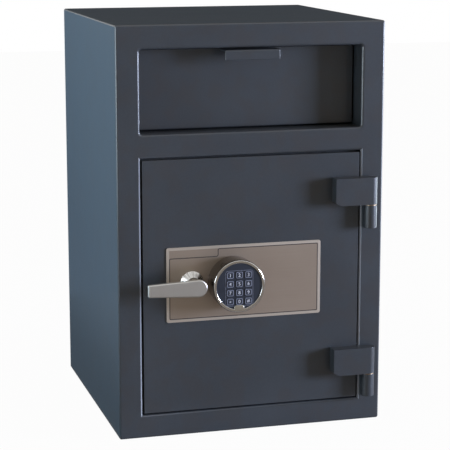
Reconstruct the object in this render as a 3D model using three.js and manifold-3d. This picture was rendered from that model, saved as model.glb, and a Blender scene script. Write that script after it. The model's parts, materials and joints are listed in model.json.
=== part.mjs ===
// A front-loading deposit safe: a welded steel cabinet with a thick hinged door below and a
// tilting deposit hopper above. A lever draws the door's three bolts, and a twelve-key lock
// blocks them. Millimetres, +Z up. The origin is the centre of the cabinet's base, and the
// door faces -Y.
import * as THREE from "three";
import { mergeVertices } from "three/addons/utils/BufferGeometryUtils.js";
import Module from "manifold-3d";

// Cabinet
const cabinetWidth = 508;
const cabinetDepth = 508;
const cabinetHeight = 762;
const wallThickness = 4.8;
const frameThickness = 6.4;
const frameBorder = 44;
const midRailHeight = 44;
const depositHeight = 152;
const frameEdgeBevel = 1.2;
const anchorHoleRadius = 6.5;
const anchorFromSide = 104;
const anchorFromFront = 130;
const anchorFromBack = 110;

// Door and the stop frame behind it
const doorThickness = 12.7;
const doorGap = 3;
const stopLap = 6;
const stopFlange = 16;
const stopThickness = 6.2;
const stopClearance = 0.5;

// Hinges: a leaf block on the door turns on a pin that stands in a knuckle on the frame
const pinFromSide = 28;
const pinSetback = 12.7;
const pinRadius = 6.35;
const barrelRadius = 12.2;
const leafReach = 72;
const leafHeight = 51;
const leafChamferWidth = 10;
const leafChamferHeight = 6;
const knuckleHeight = 43;
const washerThickness = 1.7;
const washerRadius = 11.4;
const pinRise = 38;
const lowerHingeRise = 52.5;
const upperHingeDrop = 48.5;

// Lock plate, lever and keypad, set out from the door's free edge and the doorway's sill
const handleFromEdge = 91;
const lockRise = 246.5;
const plateThickness = 1.8;
const plateLeftOfHandle = 48;
const plateRightOfHandle = 248;
const plateBelowHandle = 73.5;
const plateAboveHandle = 66.5;
const plateCornerRadius = 4;
const leverReach = 94;
const leverTipHeight = 23;
const leverHubRadius = 16;
const leverThickness = 9;
const leverStandoff = 44;
const leverEdgeRound = 1.6;
const neckRadius = 10.5;
const roseRadius = 22;
const roseHeight = 12;
const spindleRadius = 8;
const keypadFromHandle = 77;
const keypadDrop = 1.5;
const keypadRadius = 49;
const keypadDepth = 48;
const keypadBezel = 4.4;
const keypadWall = 3.6;
const faceThickness = 3;
const faceRecess = 1.7;
const keyWidth = 13.6;
const keyHeight = 12.8;
const keyCornerRadius = 3;
const keyPitchX = 17.2;
const keyPitchZ = 16.4;
const keyGridDrop = 3.5;
const keyStand = 1.2;
const keyLength = 5.5;
const boardThickness = 1.6;
const boardLedge = 38;
const badgeWidth = 19;
const badgeHeight = 9;
const badgeThickness = 2;
const batteryLength = 48.5;
const batteryWidth = 26.5;
const batteryThickness = 17.5;
const batteryRise = 6;
const cableRadius = 2.5;

// Boltwork behind the door
const boltRadius = 10;
const boltSpacing = 123;
const boltThrow = 25;
const boltTipInset = 9;
const boltSetback = 17.3;
const leverTravel = 60;
const crankPinRadius = 4;
const camThickness = 5;
const camHubRadius = 14;
const guideFromEdge = 13;
const guideThickness = 6;
const guideFlangeWidth = 16;
const guideFlangeThickness = 4;
const carriageFromEdge = 47;
const carriageThickness = 6;
const carriageFlangeDepth = 20;
const webWidth = 46;
const tongueBelow = 6.5;
const tongueHeight = 38;
const studRadius = 4;
const studHeadRadius = 7;
const studSpacing = 85;
const coverFromEdge = 15;
const coverThickness = 1.9;
const coverDepth = 45;
const deadBarInset = 29;
const deadBarOverlap = 12;
const deadBarThickness = 12.7;
const deadBarMargin = 38;
const hardPlateThickness = 3.2;
const hardPlateMargin = 12;

// Lock case with its swing bolt
const lockWidth = 60;
const lockHeight = 82;
const lockThickness = 26;
const lockRightOfKeypad = 31;
const lockBelowKeypad = 39;
const tongueToLock = 2;
const swingPivotInset = 16;
const swingLength = 30;
const swingHalfWidth = 7;
const swingThickness = 8;
const swingPivotRise = 9.5;
const swingTravel = 75;
const trunnionRadius = 3;

// Deposit hopper
const recessDepth = 44;
const hopperPlateThickness = 3.2;
const hopperTopGap = 4;
const hopperSillGap = 2.5;
const hopperFootChamfer = 2;
const surroundThickness = 3;
const surroundDepth = 50;
const surroundEarDepth = 70;
const pivotBehindPlate = 5.8;
const pivotRise = 14;
const pivotPinRadius = 4;
const pivotHeadRadius = 7;
const pivotHeadThickness = 3;
const cheekThickness = 3;
const trayThickness = 2;
const trayLegHeight = 62;
const trayBendDrop = 6.5;
const traySlope = 30;
const hopperTravel = 60;
const hopperStopHeight = 10;
const lipWidth = 103;
const lipHeight = 18.5;
const lipThickness = 3;
const baffleThickness = 2;
const baffleFlange = 20;
const baffleClearance = 3;

// Running and assembly clearances
const runningGap = 0.3;
const seatGap = 0.2;
const cableGap = 0.5;

// Places worked out from the sizes above, as seen from the front face: x across, y back, z up
const halfWidth = cabinetWidth / 2;
const innerHalf = halfWidth - wallThickness;
const openingHalf = halfWidth - frameBorder;
const doorwayBottom = frameBorder;
const depositTop = cabinetHeight - frameBorder;
const depositSill = depositTop - depositHeight;
const doorwayTop = depositSill - midRailHeight;
const doorHalf = openingHalf - doorGap;
const doorBottom = doorwayBottom + doorGap;
const doorTop = doorwayTop - doorGap;
const pinX = halfWidth - pinFromSide;
const leafDepth = pinSetback + barrelRadius;
const handleX = handleFromEdge - doorHalf;
const handleZ = doorwayBottom + lockRise;
const keypadX = handleX + keypadFromHandle;
const keypadZ = handleZ - keypadDrop;
const pivotY = recessDepth + hopperPlateThickness + pivotBehindPlate;
const pivotZ = depositSill + pivotRise;

const ROUND = 48;
const SMALL_ROUND = 24;

const wasm = await Module();
wasm.setup();

// Materials, one for each finish
function finish(color, roughness, metalness) {
  return new THREE.MeshStandardMaterial({ color, roughness, metalness });
}

const charcoalPaint = finish(0x3e4249, 0.45, 0.3);
const innerPaint = finish(0x4a4d52, 0.6, 0.2);
const brushedPlate = finish(0x8b8079, 0.35, 0.9);
const satinNickel = finish(0xa8a89e, 0.3, 0.95);
const chrome = finish(0xc4c6c8, 0.12, 1);
const keypadPlastic = finish(0x303442, 0.4, 0);
const keyPlastic = finish(0x262a36, 0.5, 0);
const badgeMetal = finish(0x9a978c, 0.35, 0.9);
const machinedSteel = finish(0x9b9ca0, 0.35, 0.95);
const zincPlate = finish(0xb0aa90, 0.45, 0.8);
const brassMetal = finish(0xc9b070, 0.3, 0.95);
const boardGreen = finish(0x2f6b45, 0.6, 0);
const batteryCase = finish(0x50545c, 0.5, 0.2);
const cableSheath = finish(0x202022, 0.6, 0);

// Solids from three.js geometry, and back again
function solidOf(geometry) {
  const bare = geometry.clone();
  bare.deleteAttribute("normal");
  bare.deleteAttribute("uv");
  const merged = mergeVertices(bare, 1e-4);
  const mesh = new wasm.Mesh({
    numProp: 3,
    vertProperties: merged.attributes.position.array,
    triVerts: new Uint32Array(merged.index.array),
  });
  return new wasm.Manifold(mesh);
}

function geometryOf(solid) {
  const mesh = solid.getMesh();
  const indexed = new THREE.BufferGeometry();
  const positions = new Float32Array(mesh.vertProperties);
  indexed.setAttribute("position", new THREE.BufferAttribute(positions, 3));
  indexed.setIndex(new THREE.BufferAttribute(new Uint32Array(mesh.triVerts), 1));
  const flat = indexed.toNonIndexed();
  flat.computeVertexNormals();
  return flat;
}

function join(first, ...others) {
  const parts = others.map(solidOf);
  return geometryOf(parts.reduce((sum, part) => sum.add(part), solidOf(first)));
}

function cut(first, ...tools) {
  const parts = tools.map(solidOf);
  return geometryOf(parts.reduce((rest, tool) => rest.subtract(tool), solidOf(first)));
}

function overlapOf(first, second) {
  return geometryOf(solidOf(first).intersect(solidOf(second)));
}

// Basic forms
function box(x0, x1, y0, y1, z0, z1) {
  const geometry = new THREE.BoxGeometry(x1 - x0, y1 - y0, z1 - z0);
  return geometry.translate((x0 + x1) / 2, (y0 + y1) / 2, (z0 + z1) / 2);
}

function barAlongX(radius, x0, x1, y, z, sides = SMALL_ROUND) {
  const geometry = new THREE.CylinderGeometry(radius, radius, x1 - x0, sides);
  return geometry.rotateZ(-Math.PI / 2).translate((x0 + x1) / 2, y, z);
}

function barAlongY(radius, y0, y1, x, z, sides = ROUND) {
  const geometry = new THREE.CylinderGeometry(radius, radius, y1 - y0, sides);
  return geometry.translate(x, (y0 + y1) / 2, z);
}

function barAlongZ(radius, z0, z1, x, y, sides = SMALL_ROUND) {
  const geometry = new THREE.CylinderGeometry(radius, radius, z1 - z0, sides);
  return geometry.rotateX(Math.PI / 2).translate(x, y, (z0 + z1) / 2);
}

function outline(points) {
  const shape = new THREE.Shape();
  shape.setFromPoints(points.map(([a, b]) => new THREE.Vector2(a, b)));
  return shape;
}

// Points along an arc about a centre, angles in degrees
function arc(centreA, centreB, radius, from, to, steps) {
  const points = [];
  for (let step = 0; step <= steps; step += 1) {
    const angle = THREE.MathUtils.degToRad(from + ((to - from) * step) / steps);
    points.push([centreA + radius * Math.cos(angle), centreB + radius * Math.sin(angle)]);
  }
  return points;
}

function roundedRectangle(a0, a1, b0, b1, radius, steps = 4) {
  return [
    ...arc(a1 - radius, b1 - radius, radius, 0, 90, steps),
    ...arc(a0 + radius, b1 - radius, radius, 90, 180, steps),
    ...arc(a0 + radius, b0 + radius, radius, 180, 270, steps),
    ...arc(a1 - radius, b0 + radius, radius, 270, 360, steps),
  ];
}

// An outline drawn as seen from the front (x, z), running back from y0 to y1
function fromFront(shape, y0, y1) {
  const geometry = new THREE.ExtrudeGeometry(shape, { depth: y1 - y0, bevelEnabled: false });
  return geometry.rotateX(Math.PI / 2).translate(0, y1, 0);
}

// The same with its front edges rounded off by a bevel
function fromFrontBevelled(shape, y0, y1, bevel, segments = 2) {
  const settings = {
    depth: y1 - y0,
    bevelThickness: bevel,
    bevelSize: bevel,
    bevelOffset: -bevel,
    bevelSegments: segments,
  };
  const geometry = new THREE.ExtrudeGeometry(shape, settings);
  geometry.rotateX(Math.PI / 2).translate(0, y1 + bevel, 0);
  const reach = cabinetWidth + cabinetHeight;
  return cut(geometry, box(-reach, reach, y1, y1 + 4 * bevel, -reach, reach));
}

// An outline drawn as seen from the right side (y, z), running across from x0 to x1
function fromSide(shape, x0, x1) {
  const geometry = new THREE.ExtrudeGeometry(shape, { depth: x1 - x0, bevelEnabled: false });
  const turn = new THREE.Matrix4().makeBasis(
    new THREE.Vector3(0, 1, 0),
    new THREE.Vector3(0, 0, 1),
    new THREE.Vector3(1, 0, 0),
  );
  return geometry.applyMatrix4(turn).translate(x0, 0, 0);
}

// An outline drawn as seen from above (x, y), rising from z0 to z1
function fromAbove(shape, z0, z1) {
  const geometry = new THREE.ExtrudeGeometry(shape, { depth: z1 - z0, bevelEnabled: false });
  return geometry.translate(0, 0, z0);
}

// A turned piece: [radius, height out from the plate] points that close on themselves
function turned(profile, x, z, sides = ROUND) {
  const closed = [...profile, profile[0]];
  const points = closed.map(([radius, height]) => new THREE.Vector2(radius, height));
  const geometry = new THREE.LatheGeometry(points, sides);
  return geometry.rotateX(Math.PI).translate(x, -plateThickness, z);
}

const safe = new THREE.Group();
const frontFace = new THREE.Group();
frontFace.position.y = -cabinetDepth / 2;
safe.add(frontFace);

function group(parent) {
  const made = new THREE.Group();
  parent.add(made);
  return made;
}

function piece(parent, name, geometry, material) {
  const mesh = new THREE.Mesh(geometry, material);
  mesh.name = name;
  parent.add(mesh);
  return mesh;
}

// Cabinet: five wall plates behind a front frame with two openings
function addCabinet(parent) {
  const back = cabinetDepth;
  const innerBack = back - wallThickness;
  const innerTop = cabinetHeight - wallThickness;
  piece(parent, "left_side_panel",
    box(-halfWidth, -innerHalf, frameThickness, back, 0, cabinetHeight), charcoalPaint);
  piece(parent, "right_side_panel",
    box(innerHalf, halfWidth, frameThickness, back, 0, cabinetHeight), charcoalPaint);
  piece(parent, "top_panel",
    box(-innerHalf, innerHalf, frameThickness, back, innerTop, cabinetHeight), charcoalPaint);
  piece(parent, "back_panel",
    box(-innerHalf, innerHalf, innerBack, back, wallThickness, innerTop), charcoalPaint);

  const holes = [];
  for (const side of [-1, 1]) {
    for (const y of [anchorFromFront, cabinetDepth - anchorFromBack]) {
      const x = side * (halfWidth - anchorFromSide);
      holes.push(barAlongZ(anchorHoleRadius, -wallThickness, 2 * wallThickness, x, y));
    }
  }
  const floorPlate = box(-innerHalf, innerHalf, frameThickness, back, 0, wallThickness);
  piece(parent, "bottom_panel", cut(floorPlate, ...holes), charcoalPaint);

  const face = outline([
    [-halfWidth, 0],
    [halfWidth, 0],
    [halfWidth, cabinetHeight],
    [-halfWidth, cabinetHeight],
  ]);
  for (const [low, high] of [[doorwayBottom, doorwayTop], [depositSill, depositTop]]) {
    face.holes.push(outline([
      [-openingHalf, low],
      [-openingHalf, high],
      [openingHalf, high],
      [openingHalf, low],
    ]));
  }
  piece(parent, "front_frame", fromFrontBevelled(face, 0, frameThickness, frameEdgeBevel),
    charcoalPaint);
}

// The door shuts against this frame, and the bolts slide behind its left bar
function addDoorStop(parent) {
  const face = doorThickness + stopClearance;
  const back = face + stopThickness;
  const outer = openingHalf + stopFlange;
  const right = openingHalf - stopLap;
  const bottom = doorwayBottom - stopFlange;
  const top = doorwayTop + stopFlange;
  const geometry = join(
    box(-outer, -openingHalf, frameThickness, back, bottom, top),
    box(-outer, right, frameThickness, back, bottom, doorwayBottom),
    box(-outer, right, frameThickness, back, doorwayTop, top),
    box(-outer, -openingHalf + stopLap, face, back, bottom, top),
    box(-outer, right, face, back, bottom, doorwayBottom + doorGap + stopLap),
    box(-outer, right, face, back, doorwayTop - doorGap - stopLap, top),
  );
  piece(parent, "door_stop_frame", geometry, charcoalPaint);
}

// One hinge: the frame's half goes in the cabinet group, the door's half in the door group
function addHinge(cabinet, door, prefix, leafBottom) {
  const knuckleTop = leafBottom - runningGap - washerThickness;
  const knuckleBottom = knuckleTop - knuckleHeight;
  const pinTop = leafBottom + pinRise;
  const boreRadius = pinRadius + runningGap;

  const knuckleOutline = outline([
    [pinX - barrelRadius, 0],
    ...arc(pinX, -pinSetback, barrelRadius, 180, 360, 16),
    [pinX + barrelRadius, 0],
  ]);
  const knuckle = cut(
    fromAbove(knuckleOutline, knuckleBottom, knuckleTop),
    barAlongZ(pinRadius + seatGap, knuckleBottom - 1, knuckleTop + 1, pinX, -pinSetback),
  );
  piece(cabinet, prefix + "_hinge_knuckle", knuckle, charcoalPaint);
  piece(cabinet, prefix + "_hinge_pin",
    barAlongZ(pinRadius, knuckleBottom, pinTop, pinX, -pinSetback), machinedSteel);
  const washer = cut(
    barAlongZ(washerRadius, knuckleTop, knuckleTop + washerThickness, pinX, -pinSetback),
    barAlongZ(boreRadius, knuckleTop - 1, leafBottom + 1, pinX, -pinSetback),
  );
  piece(cabinet, prefix + "_hinge_washer", washer, brassMetal);

  const left = pinX - leafReach;
  const leafBack = barrelRadius - pinSetback;
  const leafOutline = outline([
    [left, 0],
    [left, -leafDepth],
    ...arc(pinX, -pinSetback, barrelRadius, 270, 450, 16),
    [doorHalf - doorGap, leafBack],
    [doorHalf - doorGap, 0],
  ]);
  const corner = outline([
    [left - 1, leafBottom - 1],
    [left + leafChamferWidth, leafBottom - 1],
    [left + leafChamferWidth, leafBottom],
    [left, leafBottom + leafChamferHeight],
    [left - 1, leafBottom + leafChamferHeight],
  ]);
  const leaf = cut(
    fromAbove(leafOutline, leafBottom, leafBottom + leafHeight),
    barAlongZ(boreRadius, leafBottom - 1, pinTop + 1, pinX, -pinSetback),
    fromFront(corner, -leafDepth - 1, 1),
  );
  piece(door, prefix + "_hinge_leaf", leaf, charcoalPaint);
}

// Places that the handle, the boltwork and the lock share
const crankReach = boltThrow / (2 * Math.sin(THREE.MathUtils.degToRad(leverTravel / 2)));
const crankStart = 90 - leverTravel / 2;
const crankPinX = handleX + crankReach * Math.cos(THREE.MathUtils.degToRad(crankStart));
const crankPinLow = handleZ + crankReach * Math.sin(THREE.MathUtils.degToRad(crankStart));
const crankPinHigh = handleZ + crankReach;
const camFront = doorThickness + 1.3;
const camBack = camFront + camThickness;
const spindleEnd = camBack + 2;
const boltY = doorThickness + boltSetback;
const webFront = spindleEnd + 1;
const webBack = webFront + carriageThickness;
const carriageLeft = carriageFromEdge - doorHalf;
const carriageRight = carriageLeft + carriageThickness;
const doorMiddle = (doorBottom + doorTop) / 2;
const lockRight = keypadX + lockRightOfKeypad;
const lockLeft = lockRight - lockWidth;
const lockBottom = keypadZ - lockBelowKeypad;
const lockFront = doorThickness + hardPlateThickness;
const swingFront = (webFront + webBack) / 2 - swingThickness / 2;
const swingBack = swingFront + swingThickness;
const swingX = lockLeft + swingPivotInset;
const swingZ = handleZ + swingPivotRise;

// The door plate, and the plates and bars fixed to its back
function addDoor(parent) {
  const spindleHole = spindleRadius + runningGap;
  const cableHole = cableRadius + cableGap;
  const plate = cut(
    box(-doorHalf, doorHalf, 0, doorThickness, doorBottom, doorTop),
    barAlongY(spindleHole, -1, doorThickness + 1, handleX, handleZ),
    barAlongY(cableHole, -1, doorThickness + 1, keypadX, keypadZ, SMALL_ROUND),
  );
  piece(parent, "door_plate", plate, charcoalPaint);

  const hardPlate = cut(
    box(lockLeft, lockRight + hardPlateMargin, doorThickness, lockFront,
      lockBottom - hardPlateMargin, lockBottom + lockHeight + hardPlateMargin),
    barAlongY(cableHole, doorThickness - 1, lockFront + 1, keypadX, keypadZ, SMALL_ROUND),
  );
  piece(parent, "hard_plate", hardPlate, machinedSteel);

  const barRight = openingHalf + deadBarOverlap;
  piece(parent, "dead_bar",
    box(doorHalf - deadBarInset, barRight, doorThickness, doorThickness + deadBarThickness,
      doorBottom + deadBarMargin, doorTop - deadBarMargin), machinedSteel);
}

// The channel that guides the bolts, and the sheet cover that closes the boltwork's back
function addDoorBack(parent) {
  const guideLeft = guideFromEdge - doorHalf;
  const guideRight = guideLeft + guideThickness;
  const low = doorBottom + coverFromEdge;
  const high = doorTop - coverFromEdge;
  const coverFront = doorThickness + coverDepth;
  const coverBack = coverFront + coverThickness;
  const coverRight = doorHalf - deadBarInset - 2 * runningGap;
  const flangeEnd = guideRight + guideFlangeWidth;
  const inside = coverThickness;
  const boltHoles = [-1, 0, 1].map((place) => {
    const z = doorMiddle + place * boltSpacing;
    return barAlongX(boltRadius + runningGap, guideLeft - 1, guideRight + 1, boltY, z);
  });
  const channel = join(
    box(guideLeft, guideRight, doorThickness, coverFront, low + inside, high - inside),
    box(guideLeft, flangeEnd, doorThickness, doorThickness + guideFlangeThickness,
      low + inside, high - inside),
    box(guideLeft, flangeEnd, coverFront - guideFlangeThickness, coverFront,
      low + inside, high - inside),
  );
  piece(parent, "bolt_guide_channel", cut(channel, ...boltHoles), zincPlate);

  const cover = join(
    box(guideLeft, coverRight, coverFront, coverBack, low, high),
    box(coverRight - inside, coverRight, doorThickness, coverBack, low, high),
    box(guideLeft, coverRight, doorThickness, coverBack, low, low + inside),
    box(guideLeft, coverRight, doorThickness, coverBack, high - inside, high),
  );
  piece(parent, "door_inner_cover", cover, innerPaint);
}

// Two shoulder studs on the door's back that carry the bolt carriage
const studX = carriageRight + studRadius + 6;

function addCarriageStuds(parent) {
  for (const [prefix, side] of [["lower", -1], ["upper", 1]]) {
    const z = doorMiddle + side * studSpacing;
    const shank = barAlongY(studRadius, doorThickness, webBack + 1, studX, z, SMALL_ROUND);
    const head = barAlongY(studHeadRadius, webBack + runningGap, webBack + 4, studX, z,
      SMALL_ROUND);
    piece(parent, prefix + "_carriage_stud", join(shank, head), machinedSteel);
  }
}

// The brushed plate on the door's face that carries the lever and the keypad
function addLockPlate(parent) {
  const shape = outline(roundedRectangle(
    handleX - plateLeftOfHandle,
    handleX + plateRightOfHandle,
    handleZ - plateBelowHandle,
    handleZ + plateAboveHandle,
    plateCornerRadius,
  ));
  const plate = cut(
    fromFront(shape, -plateThickness, 0),
    barAlongY(neckRadius + runningGap, -plateThickness - 1, 1, handleX, handleZ),
    barAlongY(cableRadius + cableGap, -plateThickness - 1, 1, keypadX, keypadZ, SMALL_ROUND),
  );
  piece(parent, "lock_faceplate", plate, brushedPlate);

  const bore = neckRadius + runningGap;
  const rose = turned([
    [bore, 0],
    [roseRadius, 0],
    [roseRadius, 2],
    [roseRadius - 2, 4],
    [bore + 2.5, roseHeight - 1],
    [bore + 1.5, roseHeight],
    [bore, roseHeight],
  ], handleX, handleZ);
  piece(parent, "handle_rose", rose, chrome);
}

// The lever, its spindle and the crank that drives the bolts
function addHandle(parent) {
  const bladeBack = -plateThickness - leverStandoff;
  const bladeFront = bladeBack - leverThickness;
  const tip = handleX - leverReach;
  const half = leverTipHeight / 2;
  const tangent = THREE.MathUtils.radToDeg(Math.asin((leverHubRadius - half) / leverReach));
  const blade = outline([
    [tip, handleZ + half],
    [tip, handleZ - half],
    ...arc(handleX, handleZ, leverHubRadius, -90 - tangent, 90 + tangent, 24),
  ]);
  const lever = join(
    fromFrontBevelled(blade, bladeFront, bladeBack, leverEdgeRound, 3),
    barAlongY(neckRadius, bladeBack - 1, -2 * runningGap, handleX, handleZ),
  );
  piece(parent, "lever_handle", lever, satinNickel);
  piece(parent, "handle_spindle",
    barAlongY(spindleRadius, -2 * runningGap, spindleEnd, handleX, handleZ), machinedSteel);

  const bore = barAlongY(spindleRadius + seatGap, camFront - 1, camBack + 1, handleX, handleZ);
  const pin = barAlongY(crankPinRadius, camBack - 1, webBack + 1, crankPinX, crankPinLow,
    SMALL_ROUND);
  const hub = barAlongY(camHubRadius, camFront, camBack, handleX, handleZ);
  const end = barAlongY(crankPinRadius + 3, camFront, camBack, crankPinX, crankPinLow,
    SMALL_ROUND);
  const armWidth = 2 * (crankPinRadius + 3);
  const arm = new THREE.BoxGeometry(crankReach, camThickness, armWidth)
    .translate(crankReach / 2, (camFront + camBack) / 2, 0)
    .rotateY(-THREE.MathUtils.degToRad(crankStart))
    .translate(handleX, 0, handleZ);
  piece(parent, "handle_cam", cut(join(hub, arm, end, pin), bore), machinedSteel);
}

// The sliding carriage and its three bolts
function addBoltCarriage(parent) {
  const low = doorMiddle - boltSpacing - boltRadius;
  const high = doorMiddle + boltSpacing + boltRadius;
  const tongueBottom = handleZ + tongueBelow;
  const tongueEnd = lockLeft - tongueToLock;
  const flangeFront = webFront - 2;
  const bar = join(
    box(carriageLeft, carriageRight, flangeFront, flangeFront + carriageFlangeDepth, low, high),
    box(carriageLeft, carriageLeft + webWidth, webFront, webBack, low, high),
    box(carriageLeft, tongueEnd, webFront, webBack, tongueBottom, tongueBottom + tongueHeight),
  );
  const pinSlotHalf = crankPinRadius + 2 * runningGap;
  const slots = [
    box(crankPinX - pinSlotHalf, crankPinX + pinSlotHalf, webFront - 1, webBack + 1,
      crankPinLow - pinSlotHalf - 1, crankPinHigh + pinSlotHalf + 1),
  ];
  const slotHalf = studRadius + runningGap;
  for (const side of [-1, 1]) {
    const z = doorMiddle + side * studSpacing;
    slots.push(box(studX - slotHalf, studX + boltThrow + slotHalf, webFront - 1, webBack + 1,
      z - slotHalf, z + slotHalf));
  }
  piece(parent, "bolt_carriage", cut(bar, ...slots), zincPlate);

  const tip = boltTipInset - doorHalf;
  for (const [prefix, place] of [["lower", -1], ["middle", 0], ["upper", 1]]) {
    const z = doorMiddle + place * boltSpacing;
    piece(parent, prefix + "_door_bolt",
      barAlongX(boltRadius, tip, carriageLeft, boltY, z), machinedSteel);
  }
}

// The lock case, and the bolt that swings out of it to block the carriage
function addLock(door, swing) {
  const top = lockBottom + lockHeight;
  const floor = swingZ - Math.hypot(swingLength, swingHalfWidth) - runningGap;
  const pocket = box(lockLeft - 1, swingX + swingHalfWidth + 2 * runningGap,
    swingFront - runningGap, swingBack + runningGap,
    floor, swingZ + swingHalfWidth + 2 * runningGap);
  const trunnionHole = barAlongY(trunnionRadius + runningGap, swingFront - 2.5,
    swingBack + 2.5, swingX, swingZ, SMALL_ROUND);
  const lockCase = box(lockLeft, lockRight, lockFront, lockFront + lockThickness,
    lockBottom, top);
  piece(door, "lock_case", cut(lockCase, pocket, trunnionHole), zincPlate);

  const blade = outline([
    [swingLength, -swingHalfWidth],
    [swingLength, swingHalfWidth],
    ...arc(0, 0, swingHalfWidth, 90, 270, 12),
  ]);
  const pointing = THREE.MathUtils.degToRad(180 + swingTravel);
  const bolt = join(
    fromFront(blade, swingFront, swingBack),
    barAlongY(trunnionRadius, swingFront - 2.2, swingBack + 2.2, 0, 0, SMALL_ROUND),
  );
  bolt.rotateY(-pointing).translate(swingX, 0, swingZ);
  piece(swing, "lock_swing_bolt", bolt, brassMetal);
}

// The round keypad: a turned cup, the circuit board on its ledge, the face and twelve keys
const keypadInner = keypadRadius - keypadBezel;
const faceFront = -plateThickness - keypadDepth + faceRecess;
const faceBack = faceFront + faceThickness;
const boardBack = -plateThickness - boardLedge;

function addKeypad(parent) {
  const bore = cableRadius + cableGap;
  const front = keypadDepth;
  const housing = turned([
    [bore, 0],
    [keypadRadius - 2, 0],
    [keypadRadius - 1.2, 3],
    [keypadRadius, front - 7],
    ...arc(keypadRadius - 2.6, front - 2.6, 2.6, 0, 90, 4),
    [keypadInner + 0.6, front],
    [keypadInner, front - 0.6],
    [keypadInner, boardLedge],
    [keypadInner - keypadWall, boardLedge],
    [keypadInner - keypadWall, keypadWall],
    [bore, keypadWall],
  ], keypadX, keypadZ, 64);
  piece(parent, "keypad_housing", housing, chrome);

  const discRadius = keypadInner - runningGap;
  const face = barAlongY(discRadius, faceFront, faceBack, keypadX, keypadZ, 64);
  const windows = keyPlaces().map(({ x, z }) => fromFront(
    outline(keyOutline(x, z, runningGap)), faceFront - 1, faceBack + 1));
  piece(parent, "keypad_face", cut(face, ...windows), keypadPlastic);

  const badgeBottom = keypadZ - discRadius - 1;
  const badgeTop = keypadZ - discRadius + badgeHeight;
  const badge = overlapOf(
    box(keypadX - badgeWidth / 2, keypadX + badgeWidth / 2, faceFront - badgeThickness,
      faceFront, badgeBottom, badgeTop),
    barAlongY(discRadius, faceFront - badgeThickness - 1, faceFront + 1, keypadX, keypadZ, 64),
  );
  piece(parent, "keypad_badge", badge, badgeMetal);

  piece(parent, "keypad_board",
    barAlongY(discRadius, boardBack - boardThickness, boardBack, keypadX, keypadZ, 32),
    boardGreen);
  const batteryBack = -plateThickness - keypadWall - seatGap;
  piece(parent, "keypad_battery",
    box(keypadX - batteryLength / 2, keypadX + batteryLength / 2,
      batteryBack - batteryThickness, batteryBack,
      keypadZ + batteryRise, keypadZ + batteryRise + batteryWidth), batteryCase);
  piece(parent, "keypad_cable",
    barAlongY(cableRadius, boardBack, lockFront, keypadX, keypadZ, 12), cableSheath);
}

function keyPlaces() {
  const names = ["1", "2", "3", "4", "5", "6", "7", "8", "9", "star", "0", "hash"];
  return names.map((label, index) => {
    const column = (index % 3) - 1;
    const row = 1.5 - Math.floor(index / 3);
    return {
      name: "key_" + label,
      x: keypadX + column * keyPitchX,
      z: keypadZ - keyGridDrop + row * keyPitchZ,
    };
  });
}

function keyOutline(x, z, grow) {
  return roundedRectangle(
    x - keyWidth / 2 - grow,
    x + keyWidth / 2 + grow,
    z - keyHeight / 2 - grow,
    z + keyHeight / 2 + grow,
    keyCornerRadius + grow,
  );
}

function addKeys(parent) {
  const front = faceFront - keyStand;
  for (const { name, x, z } of keyPlaces()) {
    const shape = outline(keyOutline(x, z, 0));
    piece(parent, name, fromFront(shape, front, front + keyLength), keyPlastic);
  }
}

// The recess round the deposit opening, with ears at its back that hold the hopper's pins
function addDepositSurround(parent) {
  const outer = openingHalf + surroundThickness;
  const low = depositSill - surroundThickness;
  const high = depositTop + surroundThickness;
  const stopFront = recessDepth + hopperPlateThickness + runningGap;
  const ears = [];
  const holes = [];
  for (const side of [-1, 1]) {
    const near = Math.min(side * openingHalf, side * outer);
    ears.push(box(near, near + surroundThickness, frameThickness, surroundEarDepth, low, high));
    holes.push(barAlongX(pivotPinRadius + seatGap, near - 1, near + surroundThickness + 1,
      pivotY, pivotZ));
  }
  const surround = join(
    box(-outer, outer, frameThickness, surroundDepth, depositTop, high),
    box(-outer, outer, frameThickness, surroundDepth, low, depositSill),
    box(-openingHalf + 8, openingHalf - 8, stopFront, surroundDepth,
      depositTop - hopperStopHeight, depositTop + 1),
    ...ears,
  );
  piece(parent, "deposit_surround", cut(surround, ...holes), charcoalPaint);

  for (const [name, side] of [["left", -1], ["right", 1]]) {
    const inner = doorHalf - cheekThickness + seatGap;
    const shank = barAlongX(pivotPinRadius, inner, outer + 1, pivotY, pivotZ);
    const head = barAlongX(pivotHeadRadius, outer, outer + pivotHeadThickness, pivotY, pivotZ);
    const pin = join(shank, head);
    if (side < 0) {
      pin.rotateZ(Math.PI).translate(0, 2 * pivotY, 0);
    }
    piece(parent, "hopper_pivot_pin_" + name, pin, machinedSteel);
  }
}

// The tilting hopper: front plate, pull lip, bent tray and two cheeks
const hopperBottom = depositSill + hopperSillGap;
const hopperTop = depositTop - hopperTopGap;
const hopperRadius = hopperTop - pivotZ + hopperTopGap;
const plateBack = recessDepth + hopperPlateThickness;

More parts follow.
